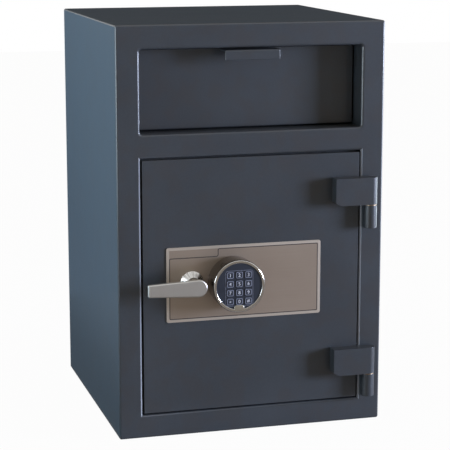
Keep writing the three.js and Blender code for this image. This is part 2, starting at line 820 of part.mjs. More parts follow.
function addHopper(parent) {
  const plateOutline = outline([
    [recessDepth, hopperBottom + hopperFootChamfer],
    [recessDepth + hopperFootChamfer, hopperBottom],
    [plateBack, hopperBottom],
    [plateBack, hopperTop],
    [recessDepth, hopperTop],
  ]);
  piece(parent, "hopper_front_plate", fromSide(plateOutline, -doorHalf, doorHalf),
    charcoalPaint);

  const lipOutline = outline([
    [recessDepth, hopperTop],
    ...arc(lipThickness, hopperTop - lipThickness, lipThickness, 90, 180, 4),
    [0, hopperTop - lipHeight],
    [lipThickness, hopperTop - lipHeight],
    [lipThickness, hopperTop - lipThickness],
    [recessDepth, hopperTop - lipThickness],
  ]);
  piece(parent, "hopper_pull_lip", fromSide(lipOutline, -lipWidth / 2, lipWidth / 2),
    charcoalPaint);

  // The tray's fold line and tip, from the pivot
  const slope = THREE.MathUtils.degToRad(traySlope);
  const along = [Math.cos(slope), -Math.sin(slope)];
  const foldY = plateBack + trayThickness / 2;
  const foldZ = pivotZ - trayBendDrop;
  const toFold = [foldY - pivotY, foldZ - pivotZ];
  const lean = toFold[0] * along[0] + toFold[1] * along[1];
  const reach = Math.sqrt(hopperRadius ** 2 - toFold[0] ** 2 - toFold[1] ** 2 + lean ** 2) - lean;
  const trayLength = reach - trayThickness;
  const halfSheet = trayThickness / 2;
  const mitre = halfSheet * Math.tan(slope / 2 + Math.PI / 4 - slope);
  const tip = [foldY + trayLength * along[0], foldZ + trayLength * along[1]];
  const across = [-along[1] * halfSheet, along[0] * halfSheet];
  const innerFold = [foldY + halfSheet, foldZ + mitre];
  const outerFold = [foldY - halfSheet, foldZ - mitre];
  const trayOutline = outline([
    [plateBack + trayThickness, foldZ + trayLegHeight],
    [plateBack, foldZ + trayLegHeight],
    outerFold,
    [tip[0] - across[0], tip[1] - across[1]],
    [tip[0] + across[0], tip[1] + across[1]],
    innerFold,
  ]);
  const trayHalf = doorHalf - cheekThickness;
  piece(parent, "hopper_tray", fromSide(trayOutline, -trayHalf, trayHalf), innerPaint);

  const topAngle = THREE.MathUtils.radToDeg(Math.asin((hopperTop - pivotZ) / hopperRadius));
  const tipAngle = THREE.MathUtils.radToDeg(
    Math.atan2(tip[1] - across[1] - pivotZ, tip[0] - across[0] - pivotY));
  const cheekOutline = outline([
    [plateBack, hopperTop],
    outerFold,
    ...arc(pivotY, pivotZ, hopperRadius, tipAngle, topAngle, 28),
  ]);
  for (const [name, side] of [["left", -1], ["right", 1]]) {
    const near = side < 0 ? -doorHalf : trayHalf;
    const cheek = cut(
      fromSide(cheekOutline, near, near + cheekThickness),
      barAlongX(pivotPinRadius + runningGap, near - 1, near + cheekThickness + 1, pivotY, pivotZ),
    );
    piece(parent, "hopper_cheek_" + name, cheek, innerPaint);
  }
}

// A fixed baffle that meets the open tray, so that nothing can be drawn back out
function addBaffle(parent) {
  const angle = THREE.MathUtils.degToRad(hopperTravel - traySlope - 1);
  const front = pivotY + (hopperRadius + baffleClearance) * Math.cos(angle);
  const low = pivotZ + (hopperRadius + baffleClearance) * Math.sin(angle);
  const top = cabinetHeight - wallThickness;
  const sheet = join(
    box(-innerHalf, innerHalf, front, front + baffleThickness, low, top),
    box(-innerHalf, innerHalf, front, front + baffleFlange, top - baffleThickness, top),
  );
  piece(parent, "anti_fish_baffle", sheet, innerPaint);
}

const cabinet = group(frontFace);
const door = group(frontFace);
const handle = group(door);
const boltwork = group(door);
const swing = group(door);
const keys = group(door);
const hopper = group(frontFace);

addCabinet(cabinet);
addDoorStop(cabinet);
addHinge(cabinet, door, "lower", doorwayBottom + lowerHingeRise);
addHinge(cabinet, door, "upper", doorwayTop - upperHingeDrop - leafHeight);
addDoor(door);
addDoorBack(door);
addCarriageStuds(door);
addLockPlate(door);
addHandle(handle);
addBoltCarriage(boltwork);
addLock(door, swing);
addKeypad(door);
addKeys(keys);
addDepositSurround(cabinet);
addHopper(hopper);
addBaffle(cabinet);

export default safe;
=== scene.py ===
# %% [markdown]
# This lesson dresses a front-loading deposit safe: a welded steel cabinet with a tilting hopper at
# the top and a thick hinged door below, with a lever and a round keypad on it. The imported model
# gives every size and every place, so it is loaded first and nothing in it is moved. Each later
# cell makes one finish or one group of pieces.

# %% Load the imported model
import json
import math

import bmesh
import bpy
from mathutils import Matrix, Vector


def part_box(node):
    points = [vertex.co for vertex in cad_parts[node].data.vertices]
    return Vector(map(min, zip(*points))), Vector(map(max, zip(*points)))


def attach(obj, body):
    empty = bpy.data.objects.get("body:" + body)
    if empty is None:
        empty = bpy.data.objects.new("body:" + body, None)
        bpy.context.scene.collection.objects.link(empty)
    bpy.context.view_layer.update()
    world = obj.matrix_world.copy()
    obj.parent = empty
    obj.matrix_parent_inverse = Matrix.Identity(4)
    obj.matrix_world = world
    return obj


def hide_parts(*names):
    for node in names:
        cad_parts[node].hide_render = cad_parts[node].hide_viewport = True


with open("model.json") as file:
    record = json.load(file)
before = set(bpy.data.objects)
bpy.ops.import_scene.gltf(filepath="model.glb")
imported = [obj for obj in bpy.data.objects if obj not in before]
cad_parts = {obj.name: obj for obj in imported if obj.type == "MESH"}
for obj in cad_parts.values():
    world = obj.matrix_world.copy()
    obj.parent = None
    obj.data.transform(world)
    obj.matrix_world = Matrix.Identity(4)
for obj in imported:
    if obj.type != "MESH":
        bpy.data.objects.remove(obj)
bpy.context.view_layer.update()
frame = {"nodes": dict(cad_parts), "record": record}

MM = 0.001
HAIR = 0.00001
scene = bpy.context.scene
body_of = {
    node: body
    for body, nodes in frame["record"]["behaviour"]["bodies"].items()
    for node in nodes
}

# %% [markdown]
# The cabinet's six outer planes are named once. Its front is the face of the frame that the two
# openings are cut in, and not the lever, which stands further out. Reading them from the nodes
# keeps this script right if the safe is made in another size.

# %% The cabinet's outer planes
LEFT, BACK, TOP = (
    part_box("left_side_panel")[0].x,
    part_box("back_panel")[1].y,
    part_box("top_panel")[1].z,
)
RIGHT, FRONT, BASE = -LEFT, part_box("front_frame")[0].y, 0.0
middle = Vector(((LEFT + RIGHT) / 2, (FRONT + BACK) / 2, (BASE + TOP) / 2))
print(f"cabinet {RIGHT - LEFT:.3f} wide, {BACK - FRONT:.3f} deep, {TOP:.3f} high")

# %% [markdown]
# The photograph was taken with a long lens from a little to the left of the safe and above it. A
# camera could be pointed with a tracking constraint, but a fixed place and turn are easier to
# read, and other views can then move it freely. Two angles give the direction that it looks back
# along, and the lens is long, so the cabinet's sides hardly narrow.

# %% Camera
camera_azimuth, camera_elevation = math.radians(-15.67), math.radians(11.05)


def direction(azimuth, elevation):
    """The way out from the safe at an angle round it, from the front, and above the floor."""
    level = math.cos(elevation)
    return Vector((math.sin(azimuth) * level, -math.cos(azimuth) * level, math.sin(elevation)))


camera = bpy.data.objects.new("camera", bpy.data.cameras.new("camera"))
camera.data.sensor_width = 36
camera.data.lens = 130
camera.location = (-0.842, -3.068, 0.965)
camera.rotation_mode = "QUATERNION"
look = -direction(camera_azimuth, camera_elevation)
camera.rotation_quaternion = look.to_track_quat("-Z", "Y")
scene.collection.objects.link(camera)
scene.camera = camera
print(f"camera {(camera.location - middle).length:.2f} m from the middle of the cabinet")

# %% [markdown]
# Shader maths reads best as plain arithmetic. Each output of a node is wrapped in a Wire, and a
# sum of two wires adds the Math node that works it out. Every other node comes from one method,
# which takes the node's type, its settings and what goes into its sockets. A colour is written as
# it would be in a paint program, from 0 to 255, and turned into the linear light that Blender
# works in.

# %% Shader helpers


class Wire:
    """One output in a node tree. Arithmetic on it adds the Math nodes that do the sum."""

    def __init__(self, recipe, socket):
        self.recipe = recipe
        self.socket = socket

    def math(self, operation, first, second):
        return self.recipe.node("ShaderNodeMath", {"operation": operation}, {0: first, 1: second})

    def __add__(self, other):
        return self.math("ADD", self, other)

    def __sub__(self, other):
        return self.math("SUBTRACT", self, other)

    def __rsub__(self, other):
        return self.math("SUBTRACT", other, self)

    def __mul__(self, other):
        return self.math("MULTIPLY", self, other)

    def __abs__(self):
        return self.math("ABSOLUTE", self, 0.0)

    __radd__ = __add__
    __rmul__ = __mul__


class Recipe:
    """The node tree of one material, or of the world."""

    def __init__(self, owner):
        owner.use_nodes = True
        self.tree = owner.node_tree

    def feed(self, socket, value):
        if isinstance(value, Wire):
            self.tree.links.new(value.socket, socket)
        else:
            socket.default_value = value

    def node(self, kind, settings=None, inputs=None, output=0):
        made = self.tree.nodes.new(kind)
        for name, value in (settings or {}).items():
            setattr(made, name, value)
        for name, value in (inputs or {}).items():
            self.feed(made.inputs[name], value)
        return Wire(self, made.outputs[output])

    def place(self, stretch=(1, 1, 1)):
        """A point of the piece in metres, with each axis stretched."""
        where = self.node("ShaderNodeTexCoord", output="Object")
        return self.node("ShaderNodeMapping", inputs={"Vector": where, "Scale": stretch})

    def noise(self, place, scale, detail=2.0, roughness=0.5):
        """Soft noise from 0 to 1, about 0.5, with so many lumps to a metre."""
        inputs = {"Vector": place, "Scale": scale, "Detail": detail, "Roughness": roughness}
        return self.node("ShaderNodeTexNoise", inputs=inputs)

    def step(self, value, low, high):
        """0 below low and 1 above high, with a smooth rise between them."""
        inputs = {"Value": value, "From Min": low, "From Max": high}
        return self.node("ShaderNodeMapRange", {"interpolation_type": "SMOOTHSTEP"}, inputs)

    def mix(self, share, first, second):
        """One colour where share is 0, the other where it is 1."""
        inputs = {0: share, 6: first, 7: second}
        return self.node("ShaderNodeMix", {"data_type": "RGBA"}, inputs, output=2)

    def show(self, shader):
        """Makes this shader the one that is seen."""
        self.feed(self.tree.nodes["Material Output"].inputs["Surface"], shader)

    def glow(self, tint):
        return self.node("ShaderNodeEmission", inputs={"Color": tint})

    def bump(self, height, distance, strength):
        inputs = {"Height": height, "Distance": distance, "Strength": strength}
        return self.node("ShaderNodeBump", inputs=inputs)

    def surface(self, **sockets):
        """Sets the shader's own sockets, such as base_color or specular_ior_level."""
        shader = self.tree.nodes["Principled BSDF"]
        for name, value in sockets.items():
            title = " ".join(word.capitalize() for word in name.split("_")).replace("Ior", "IOR")
            self.feed(shader.inputs[title], value)


def colour(red, green, blue):
    """A colour as a paint program writes it, as linear light."""
    def linear(level):
        share = level / 255
        return share / 12.92 if share <= 0.04045 else ((share + 0.055) / 1.055) ** 2.4
    return (linear(red), linear(green), linear(blue), 1.0)


def new_finish(name):
    material = bpy.data.materials.new(name)
    return material, Recipe(material)


print("shader helpers are ready")

# %% [markdown]
# The safe stands on a plain pale floor in front of white. The picture's background is white
# without any more light on the safe: the world is white only for rays that come from the camera,
# a mirror or glass. The soft light that it casts is dim and warm, and comes more from above than
# from the sides, as in the photograph's shadows. The floor is white for the same rays, but keeps a
# little of its own shading, and most of it where a glossy side mirrors it, so the safe's shadow
# still shows on the floor and in the paint.

# %% World and floor
ROOM_LEVEL = (0.15, 0.12, 0.09, 1)
ROOM_ABOVE = (0.74, 0.575, 0.43, 1)
WHITE = (1, 1, 1, 1)
FLOOR_REACH = 8
FLOOR_WHITE = 0.97
FLOOR_MIRRORED = 0.06


def unscattered(recipe):
    """1 until a ray has met a dull face, and 0 from there on."""
    depth = recipe.node("ShaderNodeLightPath", output="Diffuse Depth")
    return 1 - depth.math("MINIMUM", depth, 1.0)


def seen_by(recipe, *rays):
    """1 for these kinds of ray, and 0 for the rest, such as the light that falls on things."""
    kinds = sum(recipe.node("ShaderNodeLightPath", output=f"Is {ray} Ray") for ray in rays)
    return kinds * unscattered(recipe)


scene.world = bpy.data.worlds.new("studio")
studio = Recipe(scene.world)
backdrop = studio.tree.nodes["Background"]
shown = seen_by(studio, "Camera", "Glossy", "Transmission")
heading = studio.node("ShaderNodeTexCoord", output="Generated")
rise = studio.node("ShaderNodeSeparateXYZ", inputs={0: heading}, output="Z")
room = studio.mix(rise * rise, ROOM_LEVEL, ROOM_ABOVE)
studio.feed(backdrop.inputs["Color"], studio.mix(shown, room, WHITE))

floor_finish, recipe = new_finish("studio_floor")
recipe.surface(base_color=colour(182, 184, 188), roughness=0.9)
plain = Wire(recipe, recipe.tree.nodes["Principled BSDF"].outputs[0])
white_share = (
    FLOOR_WHITE * seen_by(recipe, "Camera")
    + FLOOR_MIRRORED * seen_by(recipe, "Glossy", "Transmission")
)
shaders = {0: white_share, 1: plain, 2: recipe.glow(WHITE)}
recipe.show(recipe.node("ShaderNodeMixShader", inputs=shaders))


def flat_sheet(width=1, height=1):
    """A flat sheet in x and y round the origin."""
    bm = bmesh.new()
    bmesh.ops.create_grid(bm, x_segments=1, y_segments=1, size=0.5)
    bmesh.ops.scale(bm, vec=(width, height, 1), verts=bm.verts)
    return bm


def move(bm, verts, by):
    bmesh.ops.translate(bm, vec=by, verts=verts)


def turn_about(bm, verts, axis, degrees):
    """Turns these points about an axis through the origin."""
    turn = Matrix.Rotation(math.radians(degrees), 3, axis)
    bmesh.ops.rotate(bm, cent=(0, 0, 0), matrix=turn, verts=verts)


def stage_plane(name, finish, low, high):
    """A flat sheet of the studio between two corners, of which one measure is nought."""
    bm = flat_sheet()
    size = Vector(high) - Vector(low)
    flat = [axis for axis in range(3) if size[axis] == 0][0]
    if flat != 2:
        turn_about(bm, bm.verts, "YX"[flat], 90)
    bmesh.ops.scale(bm, vec=size, verts=bm.verts)
    move(bm, bm.verts, (Vector(high) + Vector(low)) / 2)
    mesh = bpy.data.meshes.new(name)
    bm.to_mesh(mesh)
    bm.free()
    mesh.materials.append(finish)
    plane = bpy.data.objects.new(name, mesh)
    scene.collection.objects.link(plane)
    return plane


stage_plane("floor", floor_finish, (-FLOOR_REACH, -FLOOR_REACH, 0), (FLOOR_REACH, FLOOR_REACH, 0))
scene.view_settings.view_transform = "Standard"
print("white backdrop, pale floor")

# %% [markdown]
# A photographer puts cards round a glossy thing, outside the picture, for it to mirror. A dark one
# behind keeps the lid from going pale, and a grey and a dark one in front keep the door from it.
# Bluish ones at the left give the side its cool sheen. A pale and a bright one at the right, and
# a bright one at the left, draw the light lines on the upright edges. Only mirrored rays meet
# them: they throw no light or shadow, and no camera sees them.

# %% Cards for the gloss


def card(name, low, high, tint, far_tint=None, fade=None):
    """A sheet that only mirrors see. It can fade to another tint: fade has a direction, and where
    along it the change starts and ends."""
    finish, recipe = new_finish(name)
    shade = tint
    if far_tint:
        toward, start, end = fade
        point = recipe.node("ShaderNodeTexCoord", output="Object")
        along = recipe.node("ShaderNodeVectorMath", {"operation": "DOT_PRODUCT"},
                            {0: point, 1: toward}, output="Value")
        inputs = {"Value": along, "From Min": start, "From Max": end}
        shade = recipe.mix(recipe.node("ShaderNodeMapRange", inputs=inputs), tint, far_tint)
    recipe.show(recipe.glow(recipe.mix(unscattered(recipe), ROOM_LEVEL, shade)))
    sheet = stage_plane(name, finish, low, high)
    for ray in ("camera", "diffuse", "transmission", "volume_scatter", "shadow"):
        setattr(sheet, "visible_" + ray, False)
    print(f"{name}: from {low} to {high}")


card("dark_card_behind", (-0.45, 1.6, 0), (3.4, 1.6, 3.2), (0.060, 0.073, 0.088, 1))
card("grey_card_front", (-4, -4.4, 0), (3.2, -4.4, 3.6), (0.30, 0.27, 0.24, 1))
card("dark_card_low", (-0.8, -3.8, 0.002), (2.6, -0.42, 0.002), (0.25, 0.220, 0.195, 1))
card("pale_card_right", (1.9, -0.6, 0), (1.9, 0.2, 0.8), (1.5, 1.7, 1.9, 1))
card("bright_card_right", (1.9, 0.2, 0), (1.9, 0.95, 0.8), (5.4, 6.1, 6.8, 1))
card("bright_card_left", (-1.8, -1.9, 0.3), (-1.8, -0.4, 1.0), (6.4, 7.2, 8.0, 1))
card("blue_card_behind", (-1.8, 0.9, 0), (-0.3, 0.9, 0.8),
     (0.135, 0.205, 0.293, 1), (0.250, 0.392, 0.540, 1), fade=((-1, 0, 0.35), 0.45, 0.80))
card("blue_card_low", (-2.6, -0.4, 0.002), (-0.256, 0.9, 0.002),
     (0.085, 0.120, 0.16, 1), (0.26, 0.37, 0.50, 1), fade=((-1, 0, 0), 0.33, 0.60))

# %% [markdown]
# The shadows in the photograph fall to the left and hardly downwards: the hinge blocks stand
# 25 mm off the door and their shadows are twice as wide, so the main light is some 64 degrees
# round to the right and low. Its edges are soft, so it is a broad box and not a bare bulb. A
# cooler, weaker box at the left keeps the side panel from going dark.

# %% Lamps


def softbox(name, azimuth, elevation, distance, width, height, power, tint):
    """An area lamp that faces the middle of the safe, at an angle round it in degrees."""
    lamp = bpy.data.lights.new(name, "AREA")
    lamp.shape = "RECTANGLE"
    lamp.size, lamp.size_y = width, height
    lamp.energy = power
    lamp.color = tint
    box = bpy.data.objects.new(name, lamp)
    out = direction(math.radians(azimuth), math.radians(elevation))
    box.location = middle + out * distance
    box.rotation_mode = "QUATERNION"
    box.rotation_quaternion = (-out).to_track_quat("-Z", "Y")
    scene.collection.objects.link(box)
    print(f"{name}: {power} W at {azimuth} degrees round and {elevation} up")


softbox("key_light", 64, 5, 6.0, 1.5, 1.6, 650, (0.68, 0.76, 1.0))
softbox("side_fill", -84, 5, 2.4, 2.2, 1.1, 38, (0.60, 0.82, 1.0))

# %% [markdown]
# The cabinet, the door and the hopper share one charcoal enamel, sprayed and baked. Up close it
# has a fine orange peel, and over a hand's breadth its gloss and tone drift a little, with faint
# warm stains. Noise gives them all: fine lumps into the normal, broad ones into the colour and the
# roughness. A clear coat on top keeps a sharper gloss than the paint below it. The pieces all sit
# at the origin, so one pattern runs over every seam of the cabinet unbroken. The rounds on the
# doorway's upright edges get a painted highlight: the same enamel, paler and smoother, which stands
# in for the light lines that they catch.

# %% Charcoal enamel
STAIN_STRENGTH = 0.35


def enamel(name, dark, light, warm, gloss):
    """Sprayed paint between a dark and a light tone, stained here and there with a warm one."""
    material, recipe = new_finish(name)
    place = recipe.place()
    cloud = recipe.noise(place, 7, detail=3)
    speck = recipe.noise(place, 300, detail=3, roughness=0.6)
    peel = recipe.noise(place, 420, detail=3)
    stain = recipe.step(recipe.noise(place, 34, detail=2), 0.40, 0.66)
    tone = recipe.mix(0.5 * cloud + 0.5 * speck, dark, light)
    recipe.surface(
        base_color=recipe.mix(STAIN_STRENGTH * stain, tone, warm),
        roughness=gloss + 0.10 * cloud + 0.06 * speck,
        normal=recipe.bump(peel, 0.2 * MM, 0.5),
        specular_ior_level=0.36,
        coat_weight=0.5,
        coat_roughness=0.15,
    )
    return material


charcoal = enamel(
    "charcoal_enamel", colour(42, 47, 52), colour(63, 69, 74), colour(57, 55, 54), 0.30
)
undercoat = enamel(
    "inner_undercoat", colour(58, 60, 64), colour(72, 75, 80), colour(66, 65, 64), 0.52
)
# A paler, smoother copy of the enamel, used as a painted highlight on the doorway's upright edges.
painted_highlight = enamel(
    "painted_highlight_enamel", colour(122, 129, 136), colour(144, 151, 158), colour(134, 136, 138), 0.22
)
print("charcoal enamel, its burnished edges and the duller paint inside")

# %% [markdown]
# The metals differ in how they were finished. Milled and turned steel and the zinc-plated sheet
# carry faint clouds, brass is warm, and chrome has only a breath of haze. Each is a full metal
# whose roughness drifts with noise, so that no face reflects like a perfect mirror. The rose at
# the lever's neck was turned, and its chrome carries painted reflections: pale and dark streaks in
# its colour that spread out from its centre, with its gloss following them.

# %% Plain metals


def metal(name, dark, light, roughness, drift, lumps=60):
    """A metal between two tones, whose roughness rises by up to the drift."""
    material, recipe = new_finish(name)
    place = recipe.place()
    cloud = recipe.noise(place, lumps, detail=3)
    grain = recipe.noise(place, 1800, detail=1)
    recipe.surface(
        base_color=recipe.mix(cloud, dark, light),
        metallic=1.0,
        roughness=roughness + drift * cloud,
        normal=recipe.bump(grain, 0.02 * MM, 0.25),
    )
    return material


machined_steel = metal("machined_steel", colour(140, 141, 145), colour(168, 169, 172), 0.26, 0.14)
zinc_plate = metal("zinc_plate", colour(150, 146, 126), colour(186, 182, 160), 0.32, 0.20, 90)
brass = metal("turned_brass", colour(176, 146, 88), colour(205, 178, 118), 0.22, 0.14)
chrome = metal("bright_chrome", colour(214, 213, 210), colour(226, 225, 222), 0.05, 0.07, 25)
smoked_chrome = metal("smoked_chrome", colour(62, 57, 52), colour(84, 78, 72), 0.14, 0.10, 25)
# A near-black steel, painted shade for the hopper's pivot pins in their shaded gap.
shade_dark_steel = metal("shade_dark_steel", colour(34, 34, 36), colour(46, 46, 48), 0.45, 0.10)
tab_metal = metal("satin_tab", colour(196, 192, 178), colour(216, 212, 200), 0.24, 0.10)
washer_brass = metal("worn_brass", colour(128, 108, 88), colour(164, 146, 122), 0.34, 0.14)


def chrome_with_painted_streaks(name, dark, light, centre, streaks):
    """Chrome whose colour carries painted reflections: pale and dark streaks that spread out from the
    centre, with its gloss following them.
    """
    material, recipe = new_finish(name)
    point = [
        recipe.node("ShaderNodeSeparateXYZ", inputs={0: recipe.place()}, output=axis) - at
        for axis, at in (("X", centre.x), ("Z", centre.z))
    ]
    turn = point[0].math("ARCTAN2", point[1], point[0])
    painted_streaks = recipe.node("ShaderNodeTexNoise", {"noise_dimensions": "1D"},
                      {"W": turn * streaks, "Detail": 2.0})
    painted_streaks = recipe.step(painted_streaks, 0.32, 0.68)
    # The streaks are a painted reflection, mixed between two tones in the base colour.
    recipe.surface(
        base_color=recipe.mix(painted_streaks, dark, light),
        metallic=1.0,
        roughness=0.34 - 0.18 * painted_streaks,
    )
    return material


neck = sum(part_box("handle_rose"), Vector()) / 2
# The rose's chrome, with painted reflection streaks.
painted_streak_chrome = chrome_with_painted_streaks("painted_streak_chrome", colour(150, 147, 142), colour(228, 227, 224), neck, 2.2)
print("steel, zinc, brass, chrome, the tab and the rose")

# %% [markdown]
# The lock plate is stainless sheet brushed along its length, and the lever is brushed across.
# Brushing leaves fine parallel scratches: noise that is stretched along one axis gives them, in
# the colour, the roughness and the normal. It also spreads every highlight across the scratches,
# which the shader does by itself with anisotropy, set on its own socket. The plate's rim outside
# the etched line is left brighter, and a mask on the distance from the plate's edge tells it.

# %% Brushed metals
PLATE_RIM = 5.2 * MM


def brushed(name, dark, light, stretch, roughness, turn, depth, rim_of=None, rim_light=None):
    """A metal with scratches, whose tone is another one near the edge of the node rim_of."""
    material, recipe = new_finish(name)
    scratches = recipe.noise(recipe.place(stretch), 1, detail=4, roughness=0.65)
    cloud = recipe.noise(recipe.place(), 14, detail=2)
    tone = recipe.mix(0.7 * scratches + 0.3 * cloud, dark, light)
    if rim_of:
        low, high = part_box(rim_of)
        inset = []
        for axis, at, span in (("X", 0, high.x - low.x), ("Z", 2, high.z - low.z)):
            point = recipe.node("ShaderNodeSeparateXYZ", inputs={0: recipe.place()}, output=axis)
            inset.append(abs(point - (low[at] + high[at]) / 2) - (span / 2 - PLATE_RIM))
        outside = recipe.step(inset[0].math("MAXIMUM", *inset), -0.2 * MM, 0.2 * MM)
        tone = recipe.mix(outside, tone, rim_light)
    recipe.surface(
        base_color=tone,
        metallic=1.0,
        roughness=roughness + 0.16 * scratches,
        normal=recipe.bump(scratches, depth, 0.4),
        anisotropic=0.4,
        anisotropic_rotation=turn,
    )
    return material


brushed_plate = brushed(
    "brushed_stainless", colour(166, 152, 139), colour(190, 177, 164), (9, 700, 1400), 0.40, 0.25,
    0.03 * MM, rim_of="lock_faceplate", rim_light=colour(216, 207, 196),
)
satin_nickel = brushed(
    "satin_nickel", colour(184, 181, 174), colour(199, 196, 188), (1300, 700, 10), 0.30, 0.0,
    0.008 * MM,
)
print("brushed stainless and satin nickel")

# %% [markdown]
# The keypad's moulding is a navy-black plastic with a fine spark-eroded grain, and its keys are a
# softer rubber. Figures are printed on them in a pale ink and outlines in a greyer one, and the
# plate's etched line is filled with a dark one. Inside the door are a green circuit board, a
# battery in a plain sleeve and a black cable. All are dull, unmetallic finishes that differ in
# colour, in gloss and in how coarse their grain is.

# %% Plastics


def plastic(name, dark, light, gloss, grain, depth):
    """A plastic, rubber or ink between two tones, with so many grains to a metre."""
    material, recipe = new_finish(name)
    place = recipe.place()
    fine = recipe.noise(place, grain, detail=2, roughness=0.6)
    cloud = recipe.noise(place, 40, detail=2)
    recipe.surface(
        base_color=recipe.mix(0.5 * fine + 0.5 * cloud, dark, light),
        roughness=gloss + 0.12 * cloud,
        normal=recipe.bump(fine, depth, 0.4),
        specular_ior_level=0.45,
    )
    return material


navy = plastic("navy_moulding", colour(31, 36, 45), colour(41, 47, 58), 0.34, 1500, 0.05 * MM)
rubber = plastic("key_rubber", colour(33, 38, 48), colour(45, 51, 62), 0.42, 2200, 0.04 * MM)
ink = plastic("pale_ink", colour(205, 208, 214), colour(226, 229, 234), 0.5, 900, 0.02 * MM)
outline_ink = plastic("grey_ink", colour(122, 128, 144), colour(146, 152, 168), 0.45, 900, 0.02 * MM)
dark_ink = plastic("etched_line", colour(46, 42, 40), colour(60, 56, 53), 0.5, 1200, 0.03 * MM)
board_green = plastic("solder_mask", colour(30, 84, 52), colour(46, 108, 70), 0.3, 700, 0.03 * MM)
sleeve = plastic("battery_sleeve", colour(66, 70, 78), colour(84, 88, 96), 0.35, 900, 0.03 * MM)
sheath = plastic("cable_sheath", colour(28, 28, 30), colour(38, 38, 41), 0.5, 900, 0.04 * MM)

FINISHES = {
    "cabinet_paint": charcoal,
    "door_paint": charcoal,
    "hopper_paint": charcoal,
    "inner_paint": undercoat,
    "machined_steel": machined_steel,
    "zinc_plate": zinc_plate,
    "brass": brass,
    "brushed_plate": brushed_plate,
    "satin_nickel": satin_nickel,
    "chrome": chrome,
    "badge_metal": tab_metal,
    "keypad_plastic": navy,
    "key_plastic": rubber,
    "circuit_board": board_green,
    "battery_case": sleeve,
    "cable_sheath": sheath,
}
print(f"{len(FINISHES)} slots have a finish")

# %% [markdown]
# Sheet steel and castings never have knife edges, and it is the small round on each edge that
# catches the light. So every piece starts from a plain form at the size of its node, and its
# edges are then picked by where they lie and rounded with a bevel. Faces are shaded smooth up to
# each sharp edge. A Weighted Normal modifier lets the broad flat faces lead at the corners, so the
# rounds run into them softly and no flat face looks dented.

# %% Mesh helpers
SHARP = math.radians(38)
AXES = {"x": 0, "y": 1, "z": 2}


def block(low, high):
    """A box between two corners."""
    bm = bmesh.new()
    bmesh.ops.create_cube(bm, size=1)
    bmesh.ops.scale(bm, vec=Vector(high) - Vector(low), verts=bm.verts)
    move(bm, bm.verts, (Vector(high) + Vector(low)) / 2)
    return bm


def edges_at(bm, **planes):
    """The edges that lie in every plane named, such as x=0.1 or z=0."""
    return [
        edge for edge in bm.edges
        if all(
            abs(vert.co[AXES[axis]] - at) < HAIR
            for vert in edge.verts for axis, at in planes.items()
        )
    ]


def sharp_edges(bm, **planes):
    """The edges where two faces meet at a clear angle, of all or of those in the planes named."""
    return [
        edge for edge in edges_at(bm, **planes)
        if edge.is_manifold and edge.calc_face_angle() > SHARP
    ]


def depth_edges(bm):
    """The edges that run from the front to the back."""
    return [edge for edge in bm.edges if abs(edge.verts[0].co.y - edge.verts[1].co.y) > MM]


def round_edges(bm, edges, radius, segments=3, clamp=True):
    """Rounds these edges off. Without clamp the full radius is kept, even beside short edges."""
    bmesh.ops.bevel(
        bm, geom=edges, offset=radius, offset_type="OFFSET", segments=segments,
        profile=0.5, affect="EDGES", clamp_overlap=clamp, material=-1,
    )


def face_out(bm):
    """Turns every face to the outside."""
    bmesh.ops.recalc_face_normals(bm, faces=bm.faces[:])


def join_flat(bm):
    """Merges points that meet, and joins triangles that lie flat into one face."""
    bmesh.ops.remove_doubles(bm, verts=bm.verts, dist=HAIR)
    bmesh.ops.dissolve_limit(bm, angle_limit=math.radians(0.5), verts=bm.verts, edges=bm.edges)


def cut_at(bm, point, normal, drop_beyond=False):
    """Cuts across the whole mesh at a plane. It can also drop what lies beyond, and close it."""
    cut = bmesh.ops.bisect_plane(
        bm, geom=bm.verts[:] + bm.edges[:] + bm.faces[:], plane_co=point, plane_no=normal,
        clear_outer=drop_beyond,
    )
    if drop_beyond:
        edges = [item for item in cut["geom_cut"] if isinstance(item, bmesh.types.BMEdge)]
        bmesh.ops.holes_fill(bm, edges=edges, sides=0)
        face_out(bm)


def make_piece(name, bm, body, slot, *more_finishes):
    """Turns a mesh into a piece that rides on a body and takes a slot's finish."""
    faces = len(bm.faces)
    mesh = bpy.data.meshes.new(name)
    bm.to_mesh(mesh)
    bm.free()
    mesh.set_sharp_from_angle(angle=SHARP)
    for material in (FINISHES[slot], *more_finishes):
        mesh.materials.append(material)
    piece = bpy.data.objects.new(name, mesh)
    scene.collection.objects.link(piece)
    piece.modifiers.new("broad_faces_lead", "WEIGHTED_NORMAL").keep_sharp = True
    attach(piece, body)
    print(f"{name}: {faces} faces on {body}")
    return piece


def replace_node(node, bm, slot, *more_finishes):
    """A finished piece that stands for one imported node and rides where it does."""
    piece = make_piece("finished_" + node, bm, body_of[node], slot, *more_finishes)
    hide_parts(node)
    return piece


# %% [markdown]
# Sheets, turned parts and figures are drawn at the origin, where their sizes are easy to read, and
# are then stood up to face the front. A flat drawing gets its thickness by drawing its faces out
# to the back, so that its front stays where it was put.

# %% Helpers that stand a drawing up


def upright(bm, verts, place):
    """Stands a flat drawing, made in x and y, up to face the front, and moves it to its place."""
    turn_about(bm, verts, "X", 90)
    move(bm, verts, place)


def points_in(items):
    """The points among the things that an operator gives back."""
    return [item for item in items if isinstance(item, bmesh.types.BMVert)]


def push_back(bm, faces, depth):
    """Draws these faces out to the back."""
    pushed = bmesh.ops.extrude_face_region(bm, geom=faces)
    move(bm, points_in(pushed["geom"]), (0, depth, 0))


def thicken(bm, depth):
    """Gives an upright sheet a thickness, to the back."""
    push_back(bm, bm.faces[:], depth)
    face_out(bm)


print("drawings can be stood up and thickened")

